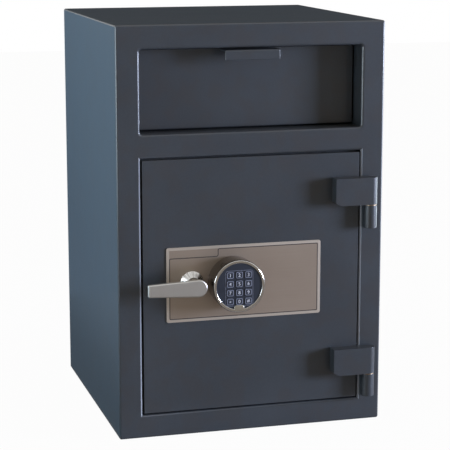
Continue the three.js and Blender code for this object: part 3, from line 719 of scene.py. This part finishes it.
# %% [markdown]
# The cabinet's walls are plates welded edge to edge and ground flush, so a round runs only along
# the cabinet's own outer edges and never down a seam. One helper finds those edges: they lie in
# two of the cabinet's six outer planes. A plate that has none of them, such as the back, which
# sits between the sides, keeps its crisp edges hidden in the joint.

# %% Cabinet walls
CABINET_ROUND = 3.8 * MM
outer_planes = [("x", LEFT), ("x", RIGHT), ("y", FRONT), ("y", BACK), ("z", BASE), ("z", TOP)]


def outer_edges(bm):
    """The edges of a plate that are also edges of the whole cabinet."""
    lying = [set(edges_at(bm, **{axis: at})) for axis, at in outer_planes]
    return [edge for edge in bm.edges if sum(edge in plane for plane in lying) > 1]


for wall in ("left_side_panel", "right_side_panel", "top_panel", "back_panel"):
    bm = block(*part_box(wall))
    round_edges(bm, outer_edges(bm), CABINET_ROUND, 5)
    replace_node(wall, bm, "cabinet_paint")

# %% [markdown]
# The front frame is one plate with two openings. It could be cut with a boolean, but a sheet that
# is sliced along the openings' edges, with two of its cells taken out, gives clean square faces.
# The sheet is then pushed back to its thickness, and its front edges are rounded: the outer ones
# as the cabinet's, the openings' a little more. The deposit opening also has rounded corners. The
# doorway's upright edges show as pale lines where their rounds catch the light, so those rounds
# get the paler enamel as a painted highlight.

# %% Front frame
low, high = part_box("front_frame")
recess_low, recess_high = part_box("deposit_surround")
door_low, door_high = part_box("door_plate")
DOOR_GAP = 3 * MM
opening_half = door_high.x + DOOR_GAP
doorway = (door_low.z - DOOR_GAP, door_high.z + DOOR_GAP)
SURROUND_SHEET = 3 * MM
deposit = (recess_low.z + SURROUND_SHEET, recess_high.z - SURROUND_SHEET)
DEPOSIT_CORNER = 5 * MM
OPENING_ROUND = 5 * MM

bm = flat_sheet(high.x - low.x, high.z - low.z)
upright(bm, bm.verts, ((low.x + high.x) / 2, low.y, (low.z + high.z) / 2))
for x in (-opening_half, opening_half):
    cut_at(bm, (x, 0, 0), (1, 0, 0))
for z in (*doorway, *deposit):
    cut_at(bm, (0, 0, z), (0, 0, 1))
cells = []
for face in bm.faces:
    centre = face.calc_center_median()
    across = abs(centre.x) < opening_half
    if across and any(bottom < centre.z < top for bottom, top in (doorway, deposit)):
        cells.append(face)
bmesh.ops.delete(bm, geom=cells, context="FACES")
thicken(bm, high.y - low.y)
for x in (-opening_half, opening_half):
    for z in deposit:
        round_edges(bm, edges_at(bm, x=x, z=z), DEPOSIT_CORNER, 6)
outer = set(outer_edges(bm))
inner = [edge for edge in sharp_edges(bm, y=low.y) if edge not in outer]
round_edges(bm, inner, OPENING_ROUND, 6, clamp=False)
round_edges(bm, outer_edges(bm), CABINET_ROUND, 5)
# The slanting faces of the rounds on the doorway's upright edges take the second finish, the painted
# highlight.
for face in bm.faces:
    centre = face.calc_center_median()
    beside = opening_half - HAIR < abs(centre.x) < opening_half + OPENING_ROUND
    slanting = 0.3 < abs(face.normal.x) < 0.95
    if beside and slanting and doorway[0] < centre.z < doorway[1]:
        face.material_index = 1
replace_node("front_frame", bm, "cabinet_paint", painted_highlight)

# %% [markdown]
# Many pieces inside the safe are seen only with the door open or the hopper down. Their packed
# shapes are right, so each is copied: the copy's loose triangles are merged, its flat faces are
# joined back into one, and its sharp edges get a small round. Edges in a joint, such as those
# against the back of the front frame, can be kept out of it. The pins that the hopper tips on get
# a near-black steel as painted shade, so that they stay dark in the shaded gap beside the hopper.

# %% Copies of the imported shapes, with their edges rounded


def softened(node, radius, segments=2, keep_sharp=None):
    """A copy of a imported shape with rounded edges. keep_sharp names planes whose edges stay."""
    mesh = frame["nodes"][node].data.copy()
    if "custom_normal" in mesh.attributes:
        mesh.attributes.remove(mesh.attributes["custom_normal"])
    bm = bmesh.new()
    bm.from_mesh(mesh)
    bpy.data.meshes.remove(mesh)
    join_flat(bm)
    kept = set()
    for axis, at in (keep_sharp or {}).items():
        kept.update(edges_at(bm, **{axis: at}))
    round_edges(bm, [edge for edge in sharp_edges(bm) if edge not in kept], radius, segments)
    return bm


frame_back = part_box("front_frame")[1].y
for node, slot, radius in (
    ("bottom_panel", "cabinet_paint", 0.4 * MM),
    ("deposit_surround", "cabinet_paint", 0.5 * MM),
    ("door_stop_frame", "cabinet_paint", 0.8 * MM),
    ("anti_fish_baffle", "inner_paint", 0.4 * MM),
    ("hopper_tray", "inner_paint", 0.4 * MM),
    ("hopper_cheek_left", "inner_paint", 0.5 * MM),
    ("hopper_cheek_right", "inner_paint", 0.5 * MM),
    ("hopper_pivot_pin_left", "machined_steel", 0.5 * MM),
    ("hopper_pivot_pin_right", "machined_steel", 0.5 * MM),
    ("door_inner_cover", "inner_paint", 0.6 * MM),
    ("bolt_guide_channel", "zinc_plate", 0.6 * MM),
    ("bolt_carriage", "zinc_plate", 0.6 * MM),
    ("hard_plate", "machined_steel", 0.5 * MM),
    ("dead_bar", "machined_steel", 1.0 * MM),
    ("lock_case", "zinc_plate", 0.8 * MM),
    ("lock_swing_bolt", "brass", 0.6 * MM),
    ("lower_carriage_stud", "machined_steel", 0.5 * MM),
    ("upper_carriage_stud", "machined_steel", 0.5 * MM),
    ("handle_cam", "machined_steel", 0.5 * MM),
    ("handle_spindle", "machined_steel", 0.4 * MM),
):
    piece = replace_node(node, softened(node, radius, keep_sharp={"y": frame_back}), slot)
    # The pivot pins take the near-black steel as painted shade.
    if "pivot_pin" in node:
        piece.data.materials[0] = shade_dark_steel

# %% [markdown]
# The door is a slab of plate steel. Two small holes lead the lever's spindle and the keypad's
# cable through it, and both are hidden, so the copied shape serves here too, with the broader
# round that a ground plate has. The hopper's front is a thinner sheet whose lower front edge is
# rounded off further, so that it clears the sill when it tilts.

# %% Door slab and hopper front
DOOR_ROUND = 2 * MM
replace_node("door_plate", softened("door_plate", DOOR_ROUND, 4), "door_paint")

low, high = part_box("hopper_front_plate")
FOOT_ROUND = 2 * MM
PLATE_ROUND = 0.6 * MM
bm = block(low, high)
round_edges(bm, edges_at(bm, y=low.y, z=low.z), FOOT_ROUND)
round_edges(bm, sharp_edges(bm), PLATE_ROUND, 2)
replace_node("hopper_front_plate", bm, "hopper_paint")

# %% [markdown]
# The pull lip is a strip bent over the hopper's top edge. The way to model bent sheet is to draw
# its outer line, round the bend, and only then give it its thickness, so that the bend is as thick
# as the rest. The line is drawn as two edges, pulled out sideways to the strip's width, and
# thickened inwards.

# %% Pull lip
LIP_SHEET = 3 * MM
LIP_BEND = 3.6 * MM
LIP_ROUND = 1 * MM
low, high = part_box("hopper_pull_lip")
bm = bmesh.new()
line = [bm.verts.new((low.x, y, z)) for y, z in ((high.y, high.z), (low.y, high.z), (low.y, low.z))]
edges = [bm.edges.new(pair) for pair in zip(line, line[1:])]
pulled = bmesh.ops.extrude_edge_only(bm, edges=edges)
move(bm, points_in(pulled["geom"]), (high.x - low.x, 0, 0))
face_out(bm)
round_edges(bm, edges_at(bm, y=low.y, z=high.z), LIP_BEND, 5)
if max(bm.faces, key=lambda face: face.calc_center_median().z).normal.z < 0:
    bmesh.ops.reverse_faces(bm, faces=bm.faces[:])
bmesh.ops.solidify(bm, geom=bm.faces[:], thickness=LIP_SHEET)
face_out(bm)
round_edges(bm, sharp_edges(bm), LIP_ROUND, 3)
replace_node("hopper_pull_lip", bm, "hopper_paint")

# %% [markdown]
# Each hinge is a heavy block on the door that turns on a pin in a half-round knuckle on the frame,
# with a bright washer between them. Block and knuckle are both bars whose corners are rounded
# over the whole thickness, which one wide bevel does. It leaves a strip a hair wide, so that no
# face vanishes. The block's back stands off the frame where it passes over it, so the part on the
# door is pushed back to touch it, and its lower corner at the door's side is cut off at a slant.

# %% Hinge blocks, knuckles, washers and pins
CORNER_CUT = Vector((10 * MM, 0, 6 * MM))
LEAF_GAP = 0.5 * MM
BARREL_STEPS = 14
FLAT_STRIP = 0.04 * MM
HINGE_ROUND = 0.7 * MM
WASHER_ROUND = 0.3 * MM
seat_end = door_high.x - DOOR_GAP
for prefix in ("lower", "upper"):
    low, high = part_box(prefix + "_hinge_leaf")
    knuckle_low, knuckle_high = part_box(prefix + "_hinge_knuckle")
    barrel = (knuckle_high.x - knuckle_low.x) / 2 - FLAT_STRIP / 2

    bm = block(low, (high.x, high.y - LEAF_GAP, high.z))
    round_edges(bm, edges_at(bm, x=high.x, y=low.y) + edges_at(bm, x=high.x, y=high.y - LEAF_GAP),
                barrel, BARREL_STEPS)
    cut_at(bm, (seat_end, 0, 0), (1, 0, 0))
    seat = [
        face for face in bm.faces
        if face.normal.y > 0.99 and face.calc_center_median().x < seat_end
    ]
    push_back(bm, seat, LEAF_GAP)
    bmesh.ops.delete(bm, geom=[face for face in seat if face.is_valid], context="FACES_ONLY")
    slant = Vector((-CORNER_CUT.z, 0, -CORNER_CUT.x))
    cut_at(bm, low + Vector((0, 0, CORNER_CUT.z)), slant, drop_beyond=True)
    round_edges(bm, sharp_edges(bm), HINGE_ROUND, 2)
    replace_node(prefix + "_hinge_leaf", bm, "door_paint")

    bm = block(knuckle_low, knuckle_high)
    fronts = [edges_at(bm, x=x, y=knuckle_low.y) for x in (knuckle_low.x, knuckle_high.x)]
    round_edges(bm, fronts[0] + fronts[1], barrel, BARREL_STEPS)
    rims = edges_at(bm, z=knuckle_low.z) + edges_at(bm, z=knuckle_high.z)
    round_edges(bm, [edge for edge in rims if edge not in edges_at(bm, y=knuckle_high.y)],
                HINGE_ROUND, 2)
    replace_node(prefix + "_hinge_knuckle", bm, "cabinet_paint")

    for part, slot in (("_hinge_washer", "brass"), ("_hinge_pin", "machined_steel")):
        piece = replace_node(prefix + part, softened(prefix + part, WASHER_ROUND), slot)
        if slot == "brass":
            piece.data.materials[0] = washer_brass

# %% [markdown]
# The lock plate is a thin sheet with rounded corners and holes for the lever's neck and the
# keypad's cable. Its outline and the holes are drawn as closed lines, and a triangle fill lays the
# sheet between them. An etched line runs inside its bright rim and steps round a plain box at the
# top left. The line is the border of a second sheet: an inset keeps a narrow band of it.

# %% Lock plate and its etched line
NECK_HOLE = 10.8 * MM
CABLE_HOLE = 3 * MM
PLATE_CORNER = 4 * MM
PLATE_EDGE = 0.5 * MM
low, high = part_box("lock_faceplate")
pad = sum(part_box("keypad_housing"), Vector()) / 2


def round_corners(bm, radius, steps):
    """Rounds every corner of a flat sheet."""
    bmesh.ops.bevel(bm, geom=bm.verts[:], offset=radius, offset_type="OFFSET", segments=steps,
                    profile=0.5, affect="VERTICES", clamp_overlap=True, material=-1)


def keep_border(bm, width):
    """Keeps only a narrow band along the outline of a flat sheet."""
    inside = bm.faces[:]
    bmesh.ops.inset_region(bm, faces=inside, thickness=width, use_boundary=True,
                           use_even_offset=True)
    bmesh.ops.delete(bm, geom=inside, context="FACES")


bm = flat_sheet(high.x - low.x, high.z - low.z)
round_corners(bm, PLATE_CORNER, 6)
bmesh.ops.delete(bm, geom=bm.faces[:], context="FACES_ONLY")
upright(bm, bm.verts, ((low.x + high.x) / 2, low.y, (low.z + high.z) / 2))
for centre, radius in ((neck, NECK_HOLE), (pad, CABLE_HOLE)):
    ring = bmesh.ops.create_circle(bm, cap_ends=False, radius=radius, segments=40)["verts"]
    upright(bm, ring, (centre.x, low.y, centre.z))
bmesh.ops.triangle_fill(bm, use_beauty=True, use_dissolve=False, edges=bm.edges[:])
thicken(bm, high.y - low.y)
round_edges(bm, sharp_edges(bm, y=low.y), PLATE_EDGE, 2)
replace_node("lock_faceplate", bm, "brushed_plate")

LINE_WIDTH = 1.6 * MM
LINE_DEPTH = 0.08 * MM
LINE_CORNER = 3 * MM
BARE_BOX = Vector((97 * MM, 0, 19.5 * MM))
span = high - low - 2 * Vector((PLATE_RIM, 0, PLATE_RIM))
bm = flat_sheet(span.x, span.z)
upright(bm, bm.verts, ((low.x + high.x) / 2, low.y - LINE_DEPTH, (low.z + high.z) / 2))
cut_at(bm, (low.x + BARE_BOX.x, 0, 0), (1, 0, 0))
cut_at(bm, (0, 0, high.z - BARE_BOX.z), (0, 0, 1))
corner = min(bm.faces, key=lambda face: (face.calc_center_median()
                                         - Vector((low.x, low.y, high.z))).length)
bmesh.ops.delete(bm, geom=[corner], context="FACES")
join_flat(bm)
round_corners(bm, LINE_CORNER, 5)
keep_border(bm, LINE_WIDTH)
thicken(bm, LINE_DEPTH)
make_piece("etched_plate_line", bm, "door", "brushed_plate").data.materials[0] = dark_ink

# %% [markdown]
# Turned parts are drawn as half of their section, as a line of radius and height, and spun round.
# The chrome rose at the lever's neck, the neck itself and the keypad's deep round housing are
# made so. The spin is done standing up at the origin, where rings of edges are easy to pick out by
# their radius and height, and the part is then laid over to face the front.

# %% Turned parts


def turned(profile, steps=96):
    """Spins a line of (radius, height) points round the upright axis. The line closes itself,
    unless both its ends are on the axis."""
    bm = bmesh.new()
    verts = [bm.verts.new((radius, 0, height)) for radius, height in profile]
    pairs = zip(verts, verts[1:] + verts[:1])
    edges = [bm.edges.new((a, b)) for a, b in pairs if a.co.x > 0 or b.co.x > 0]
    bmesh.ops.spin(bm, geom=verts + edges, cent=(0, 0, 0), axis=(0, 0, 1), dvec=(0, 0, 0),
                   angle=math.tau, steps=steps, use_merge=True, use_duplicate=False)
    bmesh.ops.remove_doubles(bm, verts=bm.verts, dist=HAIR)
    face_out(bm)
    return bm


def rings_at(bm, *places):
    """The rings of edges at these (radius, height) places of a turned part."""
    found = []
    for edge in bm.edges:
        for radius, height in places:
            if all(abs(vert.co.xy.length - radius) < HAIR and abs(vert.co.z - height) < HAIR
                   for vert in edge.verts):
                found.append(edge)
    return found


low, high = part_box("handle_rose")
rose_radius, rose_height = (high.x - low.x) / 2, high.y - low.y
COLLAR_LIP = 1.2 * MM
ROSE_ROUND = 1.2 * MM
rim = (rose_radius, 2.2 * MM)
shoulder = (rose_radius - 3.5 * MM, 4.4 * MM)
collar = (NECK_HOLE + 2.6 * MM, rose_height - 1.6 * MM)
bm = turned([
    (NECK_HOLE, 0),
    (rose_radius, 0),
    rim,
    shoulder,
    collar,
    (NECK_HOLE + COLLAR_LIP, rose_height),
    (NECK_HOLE, rose_height),
])
round_edges(bm, rings_at(bm, rim, shoulder, collar), ROSE_ROUND, 4)
upright(bm, bm.verts, (neck.x, high.y, neck.z))
# The rose takes the chrome with painted reflection streaks.
replace_node("handle_rose", bm, "chrome").data.materials[0] = painted_streak_chrome

# %% [markdown]
# The keypad's housing is a deep cup. Its wall widens slightly towards the front, and its front edge
# is a thick bright bezel round the sunk face. It is turned with the cable's hole in its back and
# the ledge inside that the circuit board rests on. The wall is plated darker than the bezel, so
# the outer faces that are turned away from the front get a second finish. They are picked after
# the edges are rounded, because the bevel would give its middle faces either finish by chance.

# %% Keypad housing
low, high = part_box("keypad_housing")
cup_radius, cup_depth = (high.x - low.x) / 2, high.y - low.y
face_low, face_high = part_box("keypad_face")
FACE_PLAY = 0.3 * MM
bezel_inner = (face_high.x - face_low.x) / 2 + FACE_PLAY
BOARD_LEDGE = 38 * MM
BEZEL_LIP = 1.6 * MM
BEZEL_THICKNESS = 1.2 * MM
BEZEL_ROUND = 2.8 * MM
LIP_EDGE = 0.9 * MM
CUP_WALL = 3.6 * MM
TURNED_AWAY = 0.75
FOOT_TAPER = 2.4 * MM
FOOT_HEIGHT = 3 * MM
WALL_TAPER = 1.4 * MM
STRAIGHT_RIM = 9 * MM
bm = turned([
    (CABLE_HOLE, 0),
    (cup_radius - FOOT_TAPER, 0),
    (cup_radius - WALL_TAPER, FOOT_HEIGHT),
    (cup_radius, cup_depth - STRAIGHT_RIM),
    (cup_radius, cup_depth),
    (bezel_inner - BEZEL_LIP, cup_depth),
    (bezel_inner - BEZEL_LIP, cup_depth - BEZEL_THICKNESS),
    (bezel_inner, cup_depth - BEZEL_THICKNESS),
    (bezel_inner, BOARD_LEDGE),
    (bezel_inner - CUP_WALL, BOARD_LEDGE),
    (bezel_inner - CUP_WALL, CUP_WALL),
    (CABLE_HOLE, CUP_WALL),
], steps=128)
round_edges(bm, rings_at(bm, (cup_radius, cup_depth)), BEZEL_ROUND, 7)
round_edges(bm, rings_at(bm, (bezel_inner - BEZEL_LIP, cup_depth)), LIP_EDGE, 3)
for face in bm.faces:
    if face.calc_center_median().xy.length > bezel_inner and face.normal.z < TURNED_AWAY:
        face.material_index = 1
upright(bm, bm.verts, (pad.x, high.y, pad.z))
replace_node("keypad_housing", bm, "chrome", smoked_chrome)

# %% [markdown]
# The lever is a flat blade that tapers from a round hub to a narrower square end. A convex hull
# gives exactly that outline: it wraps a drum for the hub and a thin block for the end in the
# tightest skin, whose long sides touch the drum. The skin's triangles are joined into flat faces
# and its edges rounded.

# %% Lever blade and neck


def add_drum(bm, radius, depth, sides):
    """Adds a closed upright drum round the origin and gives its points back."""
    drum = bmesh.ops.create_cone(bm, cap_ends=True, cap_tris=False, segments=sides,
                                 radius1=radius, radius2=radius, depth=depth)
    return drum["verts"]


low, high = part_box("lever_handle")
HUB_RADIUS = 16 * MM
BLADE_THICKNESS = 9 * MM
END_HEIGHT = 23 * MM
END_LENGTH = 2 * MM
BLADE_ROUND = 2.6 * MM
blade_middle = low.y + BLADE_THICKNESS / 2
end_low = Vector((low.x, low.y, neck.z - END_HEIGHT / 2))
bm = block(end_low, end_low + Vector((END_LENGTH, BLADE_THICKNESS, END_HEIGHT)))
upright(bm, add_drum(bm, HUB_RADIUS, BLADE_THICKNESS, 80), (neck.x, blade_middle, neck.z))
bmesh.ops.delete(bm, geom=bm.edges[:] + bm.faces[:], context="EDGES_FACES")
skin = bmesh.ops.convex_hull(bm, input=bm.verts[:], use_existing_faces=False)
left_over = points_in({*skin["geom_interior"], *skin["geom_unused"]})
bmesh.ops.delete(bm, geom=left_over, context="VERTS")
join_flat(bm)
face_out(bm)
round_edges(bm, sharp_edges(bm), BLADE_ROUND, 5)
replace_node("lever_handle", bm, "satin_nickel")

neck_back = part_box("lever_handle")[1].y
neck_length = neck_back - (low.y + BLADE_THICKNESS)
NECK_RADIUS = 10.5 * MM
NECK_BORE = 8.3 * MM
NECK_START = 0.1 * MM
SUNK_IN_BLADE = 0.5 * MM
FLARE = 3 * MM
THROAT_ROUND = 5 * MM
throat = (NECK_RADIUS, neck_length - 7 * MM)
bm = turned([
    (NECK_BORE, NECK_START),
    (NECK_RADIUS, NECK_START),
    throat,
    (NECK_RADIUS + FLARE, neck_length + SUNK_IN_BLADE),
    (NECK_BORE, neck_length + SUNK_IN_BLADE),
], steps=64)
round_edges(bm, rings_at(bm, throat), THROAT_ROUND, 6)
upright(bm, bm.verts, (neck.x, neck_back, neck.z))
make_piece("lever_neck", bm, "handle", "chrome")

# %% [markdown]
# The keypad's face is a disc with a window for each key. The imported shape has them, so it is
# copied with soft edges, as are the circuit board, the battery and the cable. The tab at its foot
# is a small metal pad with round ends, so it is a block whose corners are rounded right across.
# A faint line is moulded round the block of keys: it is a rounded outline, inset to a narrow band,
# as the etched line on the plate is.

# %% Keypad face and what is behind it
for node, slot, radius in (
    ("keypad_face", "keypad_plastic", 0.2 * MM),
    ("keypad_board", "circuit_board", 0.2 * MM),
    ("keypad_battery", "battery_case", 1.2 * MM),
    ("keypad_cable", "cable_sheath", 0.2 * MM),
):
    replace_node(node, softened(node, radius), slot)

TAB_ROUND = 0.9 * MM
TAB_FLAT = 0.1 * MM
low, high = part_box("keypad_badge")
bm = block(low, high)
round_edges(bm, depth_edges(bm), (high.z - low.z - TAB_FLAT) / 2, 10)
round_edges(bm, sharp_edges(bm, y=low.y), TAB_ROUND, 4, clamp=False)
replace_node("keypad_badge", bm, "badge_metal")

key_names = [name for name in body_of if name.startswith("key_")]
MOULDED_MARGIN = 2 * MM
MOULDED_CORNER = 5 * MM
MOULDED_WIDTH = 0.5 * MM
MOULDED_RISE = 0.25 * MM


def box_round(points):
    """The lowest and the highest corner of the box round these points."""
    points = [tuple(point) for point in points]
    return Vector(map(min, zip(*points))), Vector(map(max, zip(*points)))


block_low, block_high = box_round(corner for name in key_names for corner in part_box(name))
span = block_high - block_low + 2 * Vector((MOULDED_MARGIN, 0, MOULDED_MARGIN))
centre = (block_low + block_high) / 2
bm = flat_sheet(span.x, span.z)
round_corners(bm, MOULDED_CORNER, 6)
upright(bm, bm.verts, (centre.x, face_low.y - MOULDED_RISE, centre.z))
keep_border(bm, MOULDED_WIDTH)
thicken(bm, MOULDED_RISE)
make_piece("moulded_key_outline", bm, "door", "keypad_plastic").data.materials[0] = outline_ink

# %% [markdown]
# The twelve keys are rounded buttons with a printed outline and a figure. Each button is a block
# whose four corner edges are rounded, and two insets of its front face leave the band that the
# outline is printed on, with a second finish. The figures are text, made into a mesh first and
# then stood up on the key, so that each rides in with its key when it is pressed.

# %% Keys and their figures
KEY_CORNER = 3 * MM
FIGURE_SIZE = 8.6 * MM
INK_DEPTH = 0.1 * MM
KEY_MARGIN = 0.7 * MM
OUTLINE_WIDTH = 0.8 * MM
KEY_ROUND = 0.45 * MM
FIGURES = {"star": "*", "hash": "#"}


def figure_mesh(text, size):
    """A figure as a flat mesh, centred on the origin."""
    line = bpy.data.curves.new("figure", "FONT")
    line.body = text
    line.size = size
    line.resolution_u = 4
    holder = bpy.data.objects.new("figure", line)
    scene.collection.objects.link(holder)
    bpy.context.view_layer.update()
    mesh = bpy.data.meshes.new_from_object(holder.evaluated_get(bpy.context.evaluated_depsgraph_get()))
    bpy.data.objects.remove(holder)
    bpy.data.curves.remove(line)
    bm = bmesh.new()
    bm.from_mesh(mesh)
    bpy.data.meshes.remove(mesh)
    join_flat(bm)
    low, high = box_round(vert.co for vert in bm.verts)
    move(bm, bm.verts, -(low + high) / 2)
    return bm


for name in key_names:
    low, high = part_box(name)
    bm = block(low, high)
    round_edges(bm, depth_edges(bm), KEY_CORNER, 6)
    front = min(bm.faces, key=lambda face: face.calc_center_median().y)
    bmesh.ops.inset_region(bm, faces=[front], thickness=KEY_MARGIN, use_even_offset=True)
    band = bmesh.ops.inset_region(bm, faces=[front], thickness=OUTLINE_WIDTH,
                                  use_even_offset=True)
    for face in band["faces"]:
        face.material_index = 1
    round_edges(bm, sharp_edges(bm, y=low.y), KEY_ROUND, 2)
    replace_node(name, bm, "key_plastic", outline_ink)

    label = name.removeprefix("key_")
    bm = figure_mesh(FIGURES.get(label, label), FIGURE_SIZE)
    centre = (low + high) / 2
    upright(bm, bm.verts, (centre.x, low.y - INK_DEPTH, centre.z))
    thicken(bm, INK_DEPTH)
    make_piece("figure_" + label, bm, name, "key_plastic").data.materials[0] = ink

# %% [markdown]
# The three bolts are turned bars that show when the door is open, so they are made with more sides
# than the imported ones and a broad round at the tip. A bar is made standing up and then laid over
# to the left. The small dome-headed screws that hold the inner cover are turned standing up too,
# and laid over to the back.

# %% Bolts and cover screws
TIP_ROUND = 2 * MM
for place in ("lower", "middle", "upper"):
    low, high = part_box(place + "_door_bolt")
    bm = bmesh.new()
    add_drum(bm, (high.z - low.z) / 2, high.x - low.x, 56)
    turn_about(bm, bm.verts, "Y", -90)
    move(bm, bm.verts, (low + high) / 2)
    round_edges(bm, edges_at(bm, x=low.x), TIP_ROUND, 3)
    replace_node(place + "_door_bolt", bm, "machined_steel")

low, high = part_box("door_inner_cover")
SCREW_HEAD = 4.2 * MM
SCREW_RISE = 2.2 * MM
SCREW_RIM = 0.9 * MM
SCREW_ROUND = 0.5 * MM
SCREW_INSET = 14 * MM
SOCKET_MOUTH = 1.5 * MM
SOCKET_FLOOR = 1.3 * MM
SOCKET_BOTTOM = 0.8 * MM
dome_top = 0.55 * SCREW_HEAD
for column, x in (("left", low.x + SCREW_INSET), ("right", high.x - SCREW_INSET)):
    for row, z in (("low", low.z + SCREW_INSET), ("mid", (low.z + high.z) / 2),
                   ("high", high.z - SCREW_INSET)):
        bm = turned([
            (0, 0),
            (SCREW_HEAD, 0),
            (SCREW_HEAD, SCREW_RIM),
            (dome_top, SCREW_RISE),
            (SOCKET_MOUTH, SCREW_RISE),
            (SOCKET_FLOOR, SCREW_RIM),
            (0, SOCKET_BOTTOM),
        ], steps=32)
        round_edges(bm, rings_at(bm, (SCREW_HEAD, SCREW_RIM), (dome_top, SCREW_RISE)), SCREW_ROUND)
        turn_about(bm, bm.verts, "X", -90)
        move(bm, bm.verts, (x, high.y, z))
        make_piece(f"cover_screw_{column}_{row}", bm, "door", "machined_steel")
